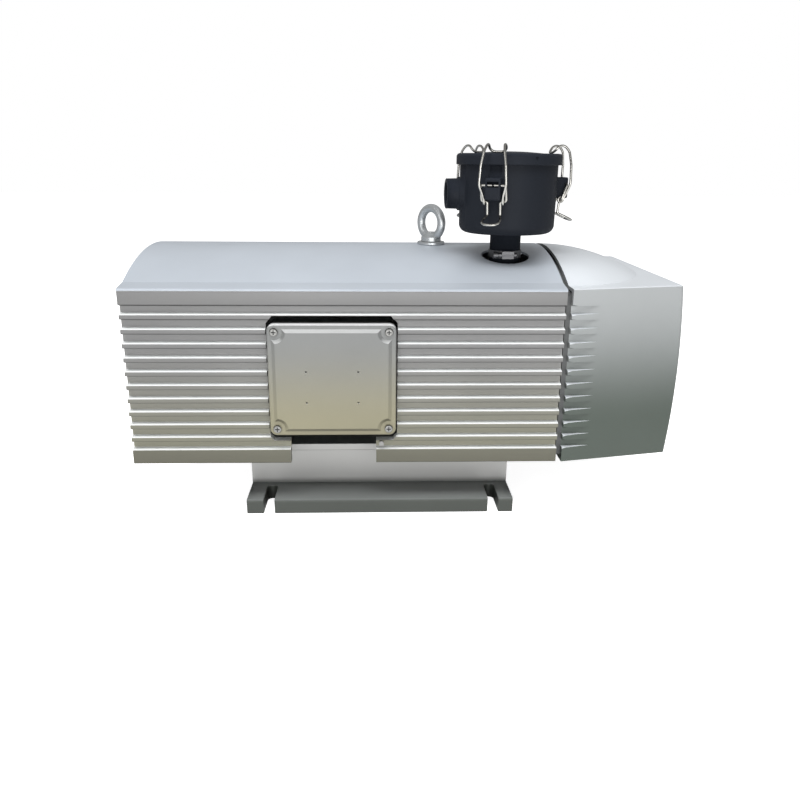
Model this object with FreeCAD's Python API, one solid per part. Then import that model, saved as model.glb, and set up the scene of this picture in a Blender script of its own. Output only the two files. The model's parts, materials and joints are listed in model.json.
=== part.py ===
import FreeCAD
import Part
import math
import os

os.makedirs("parts", exist_ok=True)
V = FreeCAD.Vector

# Driving dimensions in mm. X runs along the shaft, the front is -Y, the floor is z = 0.
casing_length = 565.5
hood_gap = 7.5
hood_length = 161.0
half_width = 189.5
edge_above_shaft = 104.0
wall_height = 234.6
crown_rise = 35.6
ledge_depth = 27.3
ledge_rise = 3.4
cover_thickness = 3.0
cover_lip = 3.0
panel_depth = 13.0
rib_depth = 8.0
rib_face = 6.5
bottom_band = 19.9
rib_crowding = 0.07
rib_count = 10
first_rib_drop = 33.2
top_band = 21.7
fit_gap = 0.3
hood_taper = 34.0
hood_bulge = 6.5
hood_nose = 133.0
hood_edge = 2.2
hood_wall = 12.0
hood_end_wall = 5.0
shaft_height = 205.0
base_length = 365.0
base_centre = -36.9
pedestal_half = 131.5
pedestal_wall = 10.0
foot_thickness = 21.0
plate_drop = 133.0
plate_thickness = 10.0
slot_radius = 7.25
slot_reach = 48.5
slot_inset = 30.5
slot_inset_right = 27.5
window_left = -183.5
window_right = -14.8
window_below = 83.1
window_above = 84.4
notch_left = -156.5
notch_right = -42.7
box_centre_x = -99.2
box_drop = 15.0
lid_width = 165.0
lid_height = 148.6
lid_proud = 5.5
panel_proud = 3.0
lid_depth = 14.0
filter_x = 136.5
filter_y = -77.5
canister_radius = 65.5
filter_stand = 52.5
lid_radius = 70.5
filter_height = 103.0
lid_thickness = 14.5
lid_plate = 4.0
dome_radius = 48.0
dome_rise = 2.6
clip_drop = 39.0
clip_azimuths = (-113.5, 6.5, 126.5)
port_azimuth = 182.0
port_rise = 50.8
port_reach = 84.5
eye_x = 39.5
eye_radius = 21.0
eye_wire = 6.0
eye_rise = 30.7
eye_turn = 50.0
rotor_radius = 70.0
bore_radius = 80.2
eccentricity = 10.0
vane_count = 7
vane_thickness = 5.6
vane_inner = 33.0
motor_radius = 100.0
motor_inner = 90.0

block_rise = 95.0
block_half = 112.0
valve_seat_rise = 17.0
silencer_drop = 53.0

# Derived positions.
top_edge = shaft_height + edge_above_shaft
crown_height = top_edge + crown_rise
wall_bottom = top_edge - wall_height
rib_pitch = (wall_height - first_rib_drop - bottom_band) / rib_count + rib_crowding * rib_count
plate_bottom = shaft_height - plate_drop
plate_top = plate_bottom + plate_thickness
box_centre_z = shaft_height - box_drop
window_bottom = box_centre_z - window_below
window_top = box_centre_z + window_above
total_length = casing_length + hood_gap + hood_length
x_left = -365.0
x_casing = x_left + casing_length
x_hood = x_casing + hood_gap
x_right = x_hood + hood_length
panel_inner = half_width - panel_depth
panel_top = top_edge - cover_lip
arch_half = half_width - ledge_depth
arch_foot = top_edge + ledge_rise
arch_rise = crown_height - arch_foot
arch_radius = (arch_half ** 2 + arch_rise ** 2) / (2 * arch_rise)
arch_centre = crown_height - arch_radius
block_top = shaft_height + block_rise
block_left = 104.0
block_right = 186.0
nipple_seat = block_top + valve_seat_rise
canister_bottom = nipple_seat + filter_stand
lid_top = canister_bottom + filter_height
port_height = canister_bottom + port_rise
eye_centre = crown_height + eye_rise
lid_face = half_width + lid_proud


def box(x0, x1, y0, y1, z0, z1):
    """Return a box between two corners."""
    return Part.makeBox(x1 - x0, y1 - y0, z1 - z0, V(x0, y0, z0))


def cyl_x(r, x0, x1, y=0.0, z=shaft_height):
    """Return a cylinder along X."""
    return Part.makeCylinder(r, x1 - x0, V(x0, y, z), V(1, 0, 0))


def cyl_y(r, y0, y1, x, z):
    """Return a cylinder along Y."""
    return Part.makeCylinder(r, y1 - y0, V(x, y0, z), V(0, 1, 0))


def cyl_z(r, z0, z1, x, y):
    """Return a cylinder along Z."""
    return Part.makeCylinder(r, z1 - z0, V(x, y, z0), V(0, 0, 1))


def tube_x(ro, ri, x0, x1):
    """Return a tube around the shaft axis."""
    return cyl_x(ro, x0, x1).cut(cyl_x(ri, x0 - 1, x1 + 1))


def prism_x(points, x0, x1):
    """Extrude a closed polygon of (y, z) points along X."""
    pts = [V(x0, y, z) for y, z in points]
    pts.append(pts[0])
    return Part.Face(Part.makePolygon(pts)).extrude(V(x1 - x0, 0, 0))


def sector(ro, ri, x0, x1, start, angle):
    """Return a ring sector around the shaft axis, angles in degrees from -Z toward +Y."""
    s = Part.makeCylinder(ro, x1 - x0, V(0, 0, 0), V(0, 0, 1), angle)
    s = s.cut(Part.makeCylinder(ri, x1 - x0 + 2, V(0, 0, -1)))
    s.rotate(V(0, 0, 0), V(0, 0, 1), start)
    s.rotate(V(0, 0, 0), V(0, 1, 0), 90)
    s.translate(V(x0, 0, shaft_height))
    return s


def fuse(shapes):
    """Join shapes into one and tidy the shared faces."""
    out = shapes[0]
    if len(shapes) > 1:
        out = out.multiFuse(shapes[1:])
    return out.removeSplitter()


def export(shape, name):
    """Write one node."""
    shape.exportStep("parts/" + name + ".step")


def rounded_edges(points, radius):
    """Return the edges of an open line through the points with rounded corners."""
    edges = []
    here = points[0]
    for i in range(1, len(points) - 1):
        p = points[i]
        a = (points[i - 1] - p).normalize()
        b = (points[i + 1] - p).normalize()
        half = a.getAngle(b) / 2
        room = min((points[i - 1] - p).Length, (points[i + 1] - p).Length) * 0.48
        cut = min(radius / math.tan(half), room)
        r = cut * math.tan(half)
        p0 = p + a * cut
        p1 = p + b * cut
        mid_dir = (a + b).normalize()
        centre = p + mid_dir * (cut / math.cos(half))
        mid = centre - mid_dir * r
        if (p0 - here).Length > 0.01:
            edges.append(Part.LineSegment(here, p0).toShape())
        edges.append(Part.Arc(p0, mid, p1).toShape())
        here = p1
    edges.append(Part.LineSegment(here, points[-1]).toShape())
    return edges


def wire_rod(points, rod_radius, bend):
    """Sweep a round wire along a line with rounded corners."""
    path = Part.Wire(rounded_edges(points, bend))
    start = (points[1] - points[0]).normalize()
    ring = Part.Wire(Part.makeCircle(rod_radius, points[0], start))
    return path.makePipeShell([ring], True, True)


def arch_section(x, half, top, lift, edge):
    """Return the wire of the outer cover line from edge to edge, closed along the bottom."""
    rise = crown_height - lift - (arch_foot - lift)
    foot = arch_foot - lift
    pts_l = [V(x, -half, edge), V(x, -half, top - 2.4), V(x, -half + 2.4, top), V(x, -arch_half, foot)]
    pts_r = [V(x, -p.y, p.z) for p in reversed(pts_l)]
    arc = Part.Arc(pts_l[-1], V(x, 0, foot + rise), pts_r[0]).toShape()
    left = Part.makePolygon(pts_l)
    right = Part.makePolygon(pts_r)
    return left, arc, right


def rib_top(i):
    """Return the height of one rib's upper edge; the ribs crowd a little toward the floor."""
    return top_edge - first_rib_drop - i * rib_pitch + rib_crowding * i * i


def rib_profile(side):
    """Return (y, z) points of a ribbed wall; side is -1 at the front and 1 at the rear."""
    out = half_width
    floor = half_width - rib_depth
    pts = [(panel_inner, panel_top), (out, panel_top), (out, top_edge - top_band + 1.6)]
    pts.append((out - 1.6, top_edge - top_band))
    pts.append((floor, top_edge - top_band - 0.8))
    for i in range(rib_count):
        z = rib_top(i)
        pts.append((floor, z + 0.8))
        pts.append((out - 1.4, z))
        pts.append((out, z - 1.4))
        pts.append((out, z - rib_face + 1.2))
        pts.append((out - 1.4, z - rib_face))
        pts.append((floor, z - rib_face - 0.8))
    z = rib_top(rib_count)
    pts.append((floor, z + 0.8))
    pts.append((out - 1.4, z))
    pts.append((out, z - 1.4))
    pts.append((out, wall_bottom + 1.5))
    pts.append((out - 1.5, wall_bottom))
    pts.append((panel_inner, wall_bottom))
    return [(side * y, z) for y, z in pts]


# Base frame with four open slots.
base_x0 = base_centre - base_length / 2
base_x1 = base_centre + base_length / 2
slot_xs = (base_x0 + slot_inset, base_x1 - slot_inset_right)
half_base = []
for side in (-1, 1):
    foot = Part.makeBox(base_length, half_width - pedestal_half + pedestal_wall, foot_thickness)
    foot.translate(V(base_x0, pedestal_half - pedestal_wall, 0))
    rounded = [
        e for e in foot.Edges
        if abs(e.CenterOfMass.y - half_width) < 0.1 and abs(e.CenterOfMass.z - foot_thickness) < 0.1
    ]
    foot = foot.makeFillet(4.5, rounded)
    for sx in slot_xs:
        end = half_width - slot_reach + slot_radius
        foot = foot.cut(box(sx - slot_radius, sx + slot_radius, end, half_width + 1, -1, foot_thickness + 1))
        foot = foot.cut(cyl_z(slot_radius, -1, foot_thickness + 1, sx, end))
    wall = box(base_x0, base_x1, pedestal_half - pedestal_wall, pedestal_half, foot_thickness, plate_bottom)
    half = foot.fuse(wall)
    for ex in (base_x0 + 8, base_x1 - 48):
        half = half.fuse(box(ex, ex + 40, pedestal_half, panel_inner, plate_bottom, plate_top))
    if side < 0:
        half = half.mirror(V(0, 0, 0), V(0, 1, 0))
    half_base.append(half)
plate = box(base_x0, base_x1, -pedestal_half - 6, pedestal_half + 6, plate_bottom, plate_top)
export(fuse([plate] + half_base), "base_frame")

# Side panels.
front = prism_x(rib_profile(-1), x_left, x_casing)
window = [
    (window_left, window_bottom + 7), (window_left + 7, window_bottom), (notch_left, window_bottom),
    (notch_left, wall_bottom - 1), (notch_right, wall_bottom - 1), (notch_right, window_bottom),
    (window_right - 7, window_bottom), (window_right, window_bottom + 7),
    (window_right, window_top - 11), (window_right - 9, window_top),
    (window_left + 9, window_top), (window_left, window_top - 11),
]
win_pts = [V(x, -half_width - 1, z) for x, z in window]
win_pts.append(win_pts[0])
opening = Part.Face(Part.makePolygon(win_pts)).extrude(V(0, panel_depth + 2, 0))
notch_screw_x = notch_right + 7.0
notch_screw_z = window_bottom - 4.6
front = front.cut(opening)
front = front.cut(cyl_y(2.1, -half_width - 1, -panel_inner + 1, notch_screw_x, notch_screw_z))
export(front, "side_panel_front")
rear = prism_x(rib_profile(1), x_left, x_casing)
exhaust_x = 144.0
exhaust_z = shaft_height - eccentricity
exhaust_body = 27.0
rear = rear.cut(cyl_y(exhaust_body + fit_gap, panel_inner - 1, half_width + 1, exhaust_x, exhaust_z))
export(rear, "side_panel_rear")

# Top cover.
left, arc, right = arch_section(x_left, half_width, top_edge, 0, panel_top)
inner_pts_r = [
    V(x_left, half_width, panel_top), V(x_left, panel_inner, panel_top),
    V(x_left, panel_inner, panel_top + 1.0), V(x_left, arch_half, arch_foot - cover_thickness),
]
inner_pts_l = [V(x_left, -p.y, p.z) for p in reversed(inner_pts_r)]
inner_arc = Part.Arc(inner_pts_r[-1], V(x_left, 0, crown_height - cover_thickness), inner_pts_l[0]).toShape()
loop = Part.Wire(
    left.Edges + [arc] + right.Edges + Part.makePolygon(inner_pts_r).Edges
    + [inner_arc] + Part.makePolygon(inner_pts_l).Edges
)
cover = Part.Face(loop).extrude(V(casing_length, 0, 0))
cover = cover.cut(cyl_z(33.0, panel_top - 6, crown_height + 6, filter_x + 1, filter_y + 1))
cover = cover.cut(cyl_z(6.0 + fit_gap, panel_top - 6, crown_height + 6, eye_x, 0))
export(cover, "top_cover")


def hood_body(inset, end_inset, drop):
    """Return the hood's full volume, moved inward for its hollow."""
    y0 = half_width - inset
    y1 = half_width - hood_taper - inset
    x0 = x_hood
    x1 = x_right - end_inset
    low = wall_bottom + (hood_end_wall if inset else 0)
    high = top_edge - drop
    plan = [V(x0, -y0, low), V(x1, -y1, low), V(x1, y1, low), V(x0, y0, low), V(x0, -y0, low)]
    body = Part.Face(Part.makePolygon(plan)).extrude(V(0, 0, high - low))
    if inset == 0:
        mid = (low + high) / 2
        back = V(x1 - hood_bulge, 0, low)
        bow = Part.Arc(back, V(x1, 0, mid), V(x1 - hood_bulge, 0, high)).toShape()
        rest = Part.makePolygon([V(x1 - hood_bulge, 0, high), V(x1 + 5, 0, high), V(x1 + 5, 0, low), back])
        trim = Part.Face(Part.Wire([bow] + rest.Edges)).extrude(V(0, 2 * y0, 0))
        trim.translate(V(0, -y0, 0))
        body = body.cut(trim)
        soft = []
        for e in body.Edges:
            upright = abs(e.Vertexes[0].Z - e.Vertexes[-1].Z) > 10
            if upright and e.CenterOfMass.x > x0 + 20:
                soft.append(e)
        body = body.makeFillet(6.0, soft)
        rim = []
        for e in body.Edges:
            level = all(abs(v.Z - high) < 0.01 for v in e.Vertexes)
            if level and e.CenterOfMass.x > x0 + 1:
                rim.append(e)
        body = body.makeFillet(hood_edge, rim)
    cap_half = arch_half - (4 if inset else 0)
    foot = top_edge - drop - 0.5
    crown = crown_height - drop
    chord = Part.makePolygon([V(x0, cap_half, foot), V(x0, -cap_half, foot)])
    arch = Part.Arc(V(x0, -cap_half, foot), V(x0, 0, crown), V(x0, cap_half, foot)).toShape()
    cap = Part.Face(Part.Wire(chord.Edges + [arch]))
    fall = crown_height - top_edge
    swing = (hood_nose ** 2 + fall ** 2) / (2 * fall)
    bump = cap.revolve(V(x0, 0, crown_height - swing), V(0, 1, 0), 34.0)
    keep = box(x0, x_right - 5 - end_inset, -y0, y0, top_edge - drop - 4, crown_height + 10)
    return body.fuse(bump.common(keep))


hood = hood_body(0, 0, 0)
hollow = hood_body(hood_wall, hood_end_wall, 4.5)
hood = hood.cut(hollow)
hood = hood.cut(box(x_hood - 1, x_hood + 0.001, -half_width, half_width, 0, crown_height + 10))
grooves = []
for side in (-1, 1):
    pts = rib_profile(side)
    face_pts = [p for p in pts[2:-3]]
    beyond = side * (half_width + 3)
    face_pts = face_pts + [(beyond, face_pts[-1][1]), (beyond, face_pts[0][1])]
    grooves.append(prism_x(face_pts, x_hood - 1, x_hood + 45))
for g in grooves:
    hood = hood.cut(g)
boss_y = (half_width - hood_wall + block_half) / 2 - 4.75
boss_ys = (-boss_y, boss_y)
boss_zs = (wall_bottom + 45.6, top_edge - 29.0)
flange_x0 = x_casing + 1
bosses = []
for by in boss_ys:
    for bz in boss_zs:
        arm_y0 = min(by, math.copysign(half_width - hood_wall - 4, by))
        arm_y1 = max(by, math.copysign(half_width - hood_wall - 4, by))
        boss = cyl_x(9.0, x_hood, x_hood + 30, by, bz)
        arm = box(x_hood + 6, x_hood + 26, arm_y0, arm_y1 + (4 if by > 0 else 0), bz - 4, bz + 4)
        if by < 0:
            arm = box(x_hood + 6, x_hood + 26, arm_y0 - 2, arm_y1, bz - 4, bz + 4)
        boss = boss.fuse(arm)
        boss = boss.cut(cyl_x(2.6, x_hood - 1, x_hood + 22, by, bz))
        bosses.append(boss)
hood = fuse([hood] + bosses)
for by in boss_ys:
    for bz in boss_zs:
        hood = hood.cut(cyl_x(2.6, x_hood - 1, x_hood + 22, by, bz))
export(hood, "end_hood")

# Flange between casing and hood.
inset = 8.0
f_half = half_width - inset
f_left, f_arc, f_right = arch_section(flange_x0, f_half, top_edge - inset, inset, wall_bottom + inset)
f_low = wall_bottom + inset
floor_line = Part.makePolygon([V(flange_x0, f_half, f_low), V(flange_x0, -f_half, f_low)])
flange = Part.Face(Part.Wire(f_left.Edges + [f_arc] + f_right.Edges + floor_line.Edges))
flange = flange.extrude(V(x_hood - flange_x0, 0, 0))
flange = flange.cut(cyl_x(44.0, flange_x0 - 1, x_hood + 1))
for by in boss_ys:
    for bz in boss_zs:
        flange = flange.cut(cyl_x(3.2, flange_x0 - 1, x_hood + 1, by, bz))
export(flange, "hood_flange")

# Grille in the fan end.
grille_x = x_left + 4
g_half = panel_inner
g_left, g_arc, g_right = arch_section(grille_x, g_half, panel_top + 1.0, cover_thickness, wall_bottom + 8)
g_floor = Part.makePolygon([V(grille_x, g_half, wall_bottom + 8), V(grille_x, -g_half, wall_bottom + 8)])
grille = Part.Face(Part.Wire(g_left.Edges + [g_arc] + g_right.Edges + g_floor.Edges))
grille = grille.extrude(V(4, 0, 0))
for k in range(6):
    r = 20.0 + 15.0 * k
    grille = grille.cut(tube_x(r + 9.0, r, grille_x - 1, grille_x + 5))
spokes = [box(grille_x, grille_x + 4, -104, 104, shaft_height - 4, shaft_height + 4)]
spokes.append(box(grille_x, grille_x + 4, -4, 4, shaft_height - 104, shaft_height + 99))
grille = fuse([grille] + spokes)
screw_y = panel_inner - 26.5
grille_screws = [(y, z) for y in (-screw_y, screw_y) for z in (wall_bottom + 30.6, top_edge - 19.0)]
for gy, gz in grille_screws:
    grille = grille.cut(cyl_x(3.2, grille_x - 1, grille_x + 5, gy, gz))
export(grille, "end_grille")

# Motor housing with fins and feet.
housing_x0 = -272.0
housing_x1 = 22.0
shell_parts = [cyl_x(motor_radius, housing_x0, housing_x1)]
for k in range(32):
    a = k * 360.0 / 32
    if abs(a - 270) < 42 or a < 44 or a > 316:
        continue
    fin = box(housing_x0 + 10, housing_x1 - 10, -1.6, 1.6, -109.0, -motor_radius + 2)
    fin.rotate(V(0, 0, 0), V(1, 0, 0), a)
    fin.translate(V(0, 0, shaft_height))
    shell_parts.append(fin)
for fx in (-240.0, -50.0):
    shell_parts.append(box(fx, fx + 40, -80, 80, plate_top, plate_top + 50))
pad_face = -block_half
pad_x = (box_centre_x - 50, box_centre_x + 50)
shell_parts.append(box(pad_x[0], pad_x[1], pad_face, -80, box_centre_z - 35, box_centre_z + 35))
housing = fuse(shell_parts).cut(cyl_x(motor_inner, housing_x0 - 1, housing_x1 + 1))
housing = housing.cut(cyl_y(16.0, pad_face - 1, -60, box_centre_x, box_centre_z))
export(housing, "motor_housing")
core_x0 = -200.0
core_x1 = -60.0
export(tube_x(motor_inner, 62.0, core_x0, core_x1), "stator_core")
windings = []
for wx in (core_x0 - 26, core_x1):
    coil = tube_x(86.0, 66.0, wx, wx + 26)
    windings.append(coil.makeFillet(7.0, [e for e in coil.Edges if len(e.Vertexes) == 1]))
export(Part.makeCompound(windings), "stator_winding")

# Motor end shields.
bearing_outer = 31.0
bearing_width = 16.0
shield_l = cyl_x(104.0, housing_x0 - 12, housing_x0).fuse(cyl_x(39.0, housing_x0, housing_x0 + 18))
shield_l = shield_l.cut(cyl_x(bearing_outer, housing_x0, housing_x0 + 19))
shield_l = shield_l.cut(cyl_x(15.6, housing_x0 - 13, housing_x0 + 1))
export(shield_l.removeSplitter(), "motor_shield_fan")
shield_r = cyl_x(104.0, housing_x1, housing_x1 + 12).fuse(cyl_x(39.0, housing_x1 - 18, housing_x1))
shield_r = shield_r.cut(cyl_x(bearing_outer, housing_x1 - 19, housing_x1))
shield_r = shield_r.cut(cyl_x(15.6, housing_x1 - 1, housing_x1 + 13))
export(shield_r.removeSplitter(), "motor_shield_drive")

# Four ball bearings on the common axis.
plate_d0 = block_left - bearing_width
bearing_xs = (housing_x0, housing_x1 - bearing_width, plate_d0, block_right + 7)
outers = []
inners = []
balls = []
for bx in bearing_xs:
    outers.append(tube_x(bearing_outer, 25.5, bx, bx + bearing_width))
    inners.append(tube_x(20.5, 15.0, bx, bx + bearing_width))
    for k in range(7):
        a = 2 * math.pi * k / 7
        spot = V(bx + bearing_width / 2, 23 * math.sin(a), shaft_height + 23 * math.cos(a))
        balls.append(Part.makeSphere(2.5, spot))
export(Part.makeCompound(outers), "bearing_outer_rings")
export(Part.makeCompound(inners), "bearing_inner_rings")
export(Part.makeCompound(balls), "bearing_balls")

# Rotating motor parts.
shaft_steps = [
    (12.5, -322.0, housing_x0 - 12), (15.0, housing_x0 - 12, -212.0), (19.0, -212.0, -48.0),
    (15.0, -48.0, 36.0), (12.5, 36.0, 56.0),
]
export(fuse([cyl_x(r, a, b) for r, a, b in shaft_steps]), "motor_shaft")
export(tube_x(61.2, 19.0, core_x0 + 2, core_x1 - 2), "motor_rotor_core")
fan_parts = [cyl_x(28.0, -318.0, -292.0), cyl_x(84.0, -295.0, -292.0)]
for k in range(9):
    blade = box(-318.0, -293.0, -1.5, 1.5, 20.0, 84.0)
    blade.rotate(V(0, 0, 0), V(1, 0, 0), k * 40)
    blade.translate(V(0, 0, shaft_height))
    fan_parts.append(blade)
fan = fuse(fan_parts).cut(cyl_x(12.5, -330, -290))
export(fan, "motor_fan")

# Coupling and cooling fan.
hub_m = [tube_x(30.0, 12.5, 38.0, 56.0)]
hub_p = [tube_x(30.0, 12.5, 70.0, 84.0)]
legs = [cyl_x(13.4, 57.0, 69.0)]
for k in range(3):
    hub_m.append(sector(30.0, 14.0, 56.0, 68.0, 120 * k, 50))
    hub_p.append(sector(30.0, 14.0, 58.0, 70.0, 120 * k + 60, 50))
    legs.append(sector(29.0, 12.0, 58.5, 67.5, 120 * k + 50.0, 10.0))
    legs.append(sector(29.0, 12.0, 58.5, 67.5, 120 * k + 110.0, 10.0))
export(fuse(hub_m), "coupling_hub_motor")
export(fuse(hub_p), "coupling_hub_pump")
export(fuse(legs), "coupling_star")
wheel = [tube_x(40.0, 30.0, 71.0, 83.0), tube_x(88.0, 36.0, 80.0, 83.0)]
for k in range(12):
    blade = box(60.0, 81.0, -1.3, 1.3, 45.0, 88.0)
    blade.rotate(V(0, 0, 0), V(1, 0, 0), k * 30)
    blade.translate(V(0, 0, shaft_height))
    wheel.append(blade)
export(fuse(wheel), "cooling_fan")

# Bell housing with the lifting pillar.
bell_x0 = housing_x1 + 12
bell = [tube_x(104.0, 94.0, bell_x0, plate_d0)]
bell.append(box(bell_x0 + 2, bell_x0 + 24, -14, 14, shaft_height + 96, shaft_height + 114))
bell.append(cyl_z(13.0, shaft_height + 107, crown_height - cover_thickness - 0.3, eye_x, 0))
bell_shape = fuse(bell)
for a in (60, 120, 240, 300):
    gap_tool = box(bell_x0 + 12, plate_d0 - 10, -26, 26, -110.0, -80.0)
    gap_tool.rotate(V(0, 0, 0), V(1, 0, 0), a)
    gap_tool.translate(V(0, 0, shaft_height))
    bell_shape = bell_shape.cut(gap_tool)
bell_shape = bell_shape.cut(cyl_z(6.0, shaft_height + 112, crown_height, eye_x, 0))
export(bell_shape, "bell_housing")

# Pump block: two end plates and the cylinder with its bore below the shaft.
plate_d = box(plate_d0, block_left, -block_half, block_half, plate_top, block_top)
plate_d = plate_d.cut(cyl_x(bearing_outer, plate_d0 - 1, block_left + 1))
export(plate_d, "pump_end_plate_drive")
bore_z = shaft_height - eccentricity
cylinder = box(block_left, block_right, -block_half, block_half, plate_top, block_top)
for k in range(5):
    fz = plate_top + 30 + k * 36
    for side in (-1, 1):
        y0 = side * block_half - (10 if side > 0 else 0)
        if side > 0 and abs(fz + 6 - exhaust_z) < 40:
            continue
        cylinder = cylinder.cut(box(block_left + 6, block_right - 6, y0, y0 + 10, fz, fz + 12))
cylinder = cylinder.cut(cyl_x(bore_radius, block_left - 1, block_right + 1, 0, bore_z))
cylinder = cylinder.cut(cyl_z(16.0, bore_z + 10, block_top + 1, filter_x, filter_y))
cylinder = cylinder.cut(cyl_y(15.0, 60, block_half + 1, exhaust_x, exhaust_z))
export(cylinder, "pump_cylinder")
plate_f = box(block_right, flange_x0, -block_half, block_half, plate_top, block_top)
plate_f = plate_f.fuse(cyl_x(42.0, flange_x0, flange_x0 + 13))
plate_f = plate_f.cut(cyl_x(bearing_outer, block_right + 7, flange_x0 + 14))
plate_f = plate_f.cut(cyl_x(15.6, block_right - 1, block_right + 8))
export(plate_f.removeSplitter(), "pump_end_plate_free")

# Pump rotor, shaft and vanes.
rotor = tube_x(rotor_radius, 15.0, block_left + 0.3, block_right - 0.3)
for k in range(vane_count):
    half_slot = vane_thickness / 2 + 0.2
    slot = box(block_left - 1, block_right + 1, -half_slot, half_slot, -rotor_radius - 2, -vane_inner)
    slot.rotate(V(0, 0, 0), V(1, 0, 0), k * 360.0 / vane_count)
    slot.translate(V(0, 0, shaft_height))
    rotor = rotor.cut(slot)
    half_vane = vane_thickness / 2
    vane = box(block_left + 0.5, block_right - 0.5, -half_vane, half_vane, -rotor_radius + 0.4, -vane_inner)
    vane.rotate(V(0, 0, 0), V(1, 0, 0), k * 360.0 / vane_count)
    vane.translate(V(0, 0, shaft_height))
    export(vane, "vane_" + str(k + 1))
export(rotor, "pump_rotor")
export(fuse([cyl_x(12.5, 70.0, 84.0), cyl_x(15.0, 84.0, block_right + 23)]), "pump_shaft")
cap = cyl_x(42.0, flange_x0 + 13, flange_x0 + 23)
rims = [e for e in cap.Edges if e.CenterOfMass.x > flange_x0 + 22 and len(e.Vertexes) == 1]
cap = cap.makeFillet(3.0, rims)
cap = cap.cut(cyl_x(28.0, flange_x0 + 12, flange_x0 + 18))
export(cap, "bearing_cover")
silencer_low = wall_bottom + 21.6
silencer_top = shaft_height - silencer_drop
silencer_hole = (silencer_top - silencer_low) * 9 / 28
silencer = box(x_hood, x_hood + 90, -90, 90, silencer_low, silencer_top)
lengthwise = [e for e in silencer.Edges if abs(e.Vertexes[0].X - e.Vertexes[1].X) > 10]
silencer = silencer.makeFillet(8.0, lengthwise)
silencer = silencer.cut(box(x_hood + 4, x_hood + 86, -86, 86, silencer_low + 4, silencer_top - 4))
silencer = silencer.cut(cyl_x(silencer_hole, x_hood + 80, x_hood + 95, 40, (silencer_low + silencer_top) / 2))
export(silencer, "exhaust_silencer")

# Suction side: flange, check valve and nipple.
s_flange = cyl_z(36.0, block_top, nipple_seat, filter_x, filter_y)
s_flange = s_flange.cut(cyl_z(19.0, block_top - 1, nipple_seat + 1, filter_x, filter_y))
export(s_flange, "suction_flange")
disc = cyl_z(17.5, nipple_seat - 3, nipple_seat, filter_x, filter_y)
disc = disc.fuse(cyl_z(6.0, nipple_seat - 6, nipple_seat - 3, filter_x, filter_y))
export(disc, "check_valve_disc")
turns = []
for k in range(5):
    turns.append(Part.makeTorus(9.5, 1.0, V(filter_x, filter_y, nipple_seat - 4.0 - 1.7 * k)))
spring = fuse(turns)
export(spring, "check_valve_spring")
neck_radius = 21.0
neck_inner = 17.0
nipple = cyl_z(30.0, nipple_seat, nipple_seat + 5, filter_x, filter_y)
nipple = nipple.fuse(cyl_z(neck_inner, nipple_seat + 5, nipple_seat + 36, filter_x, filter_y))
nipple = nipple.cut(cyl_z(13.0, nipple_seat - 1, nipple_seat + 37, filter_x, filter_y))
export(nipple.removeSplitter(), "suction_nipple")
clamp_z = nipple_seat + 19
clamp = cyl_z(neck_radius + 1.4, clamp_z, clamp_z + 10, filter_x, filter_y)
clamp = clamp.cut(cyl_z(neck_radius, clamp_z - 1, clamp_z + 11, filter_x, filter_y))
clamp_y = filter_y - neck_radius - 4.5
clamp_end = filter_y - neck_radius - 0.4
clamp = clamp.fuse(box(filter_x - 8, filter_x + 8, clamp_y - 3, clamp_end, clamp_z, clamp_z + 10))
clamp = clamp.fuse(cyl_x(3.2, filter_x - 14, filter_x + 12, clamp_y, clamp_z + 5))
clamp = clamp.fuse(cyl_x(5.0, filter_x - 20, filter_x - 14, clamp_y, clamp_z + 5))
clamp = clamp.cut(cyl_z(neck_radius, clamp_z - 1, clamp_z + 11, filter_x, filter_y))
export(clamp.removeSplitter(), "hose_clamp")

# Filter canister. The helper places a local (out, along, up) point of a clip.
clip_z = lid_top - clip_drop
can_top = lid_top - lid_plate - 4.0


def clip_point(az, u, t, z):
    """Return the point at u outside the canister wall, t along it and z above the pin."""
    a = math.radians(az)
    r = canister_radius + u
    x = filter_x + r * math.cos(a) - t * math.sin(a)
    y = filter_y + r * math.sin(a) + t * math.cos(a)
    return V(x, y, clip_z + z)


can = cyl_z(canister_radius, canister_bottom, can_top, filter_x, filter_y)
low_ring = [e for e in can.Edges if abs(e.CenterOfMass.z - canister_bottom) < 0.1 and len(e.Vertexes) == 1]
can = can.makeFillet(11.0, low_ring)
port_dir = V(math.cos(math.radians(port_azimuth)), math.sin(math.radians(port_azimuth)), 0)
port_base = V(filter_x, filter_y, port_height)
port = Part.makeCylinder(20.0, port_reach - 40, port_base + port_dir * 40, port_dir)
pad = Part.makeCylinder(22.0, 30.5, port_base + port_dir * 38, port_dir)
adds = [port, pad, cyl_z(neck_radius, nipple_seat + 8, canister_bottom + 2, filter_x, filter_y)]
lug_half = 10.3
for az in clip_azimuths:
    lug = Part.makeBox(22.0, 2 * lug_half, 27.5, V(canister_radius - 6.0, -lug_half, clip_z - 18.5))
    lug_front = [e for e in lug.Edges if abs(e.CenterOfMass.x - canister_radius - 16) < 0.1]
    lug = lug.makeFillet(4.0, [e for e in lug_front if abs(e.CenterOfMass.y) < 0.1])
    lug.rotate(V(0, 0, 0), V(0, 0, 1), az)
    lug.translate(V(filter_x, filter_y, 0))
    adds.append(lug)
can = fuse([can] + adds)
can = can.cut(cyl_z(canister_radius - 3.5, canister_bottom + 3.5, can_top + 1, filter_x, filter_y))
can = can.cut(Part.makeCylinder(15.0, port_reach, port_base + port_dir * 30, port_dir))
can = can.cut(cyl_z(neck_inner, nipple_seat, canister_bottom + 5, filter_x, filter_y))
wire_radius = 1.6
pin_out = 12.5
for az in clip_azimuths:
    a = clip_point(az, pin_out, -20, 0)
    b = clip_point(az, pin_out, 20, 0)
    can = can.cut(Part.makeCylinder(wire_radius + 0.15, 40, a, b - a))
export(can, "filter_canister")
rim_low = lid_top - lid_thickness
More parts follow.
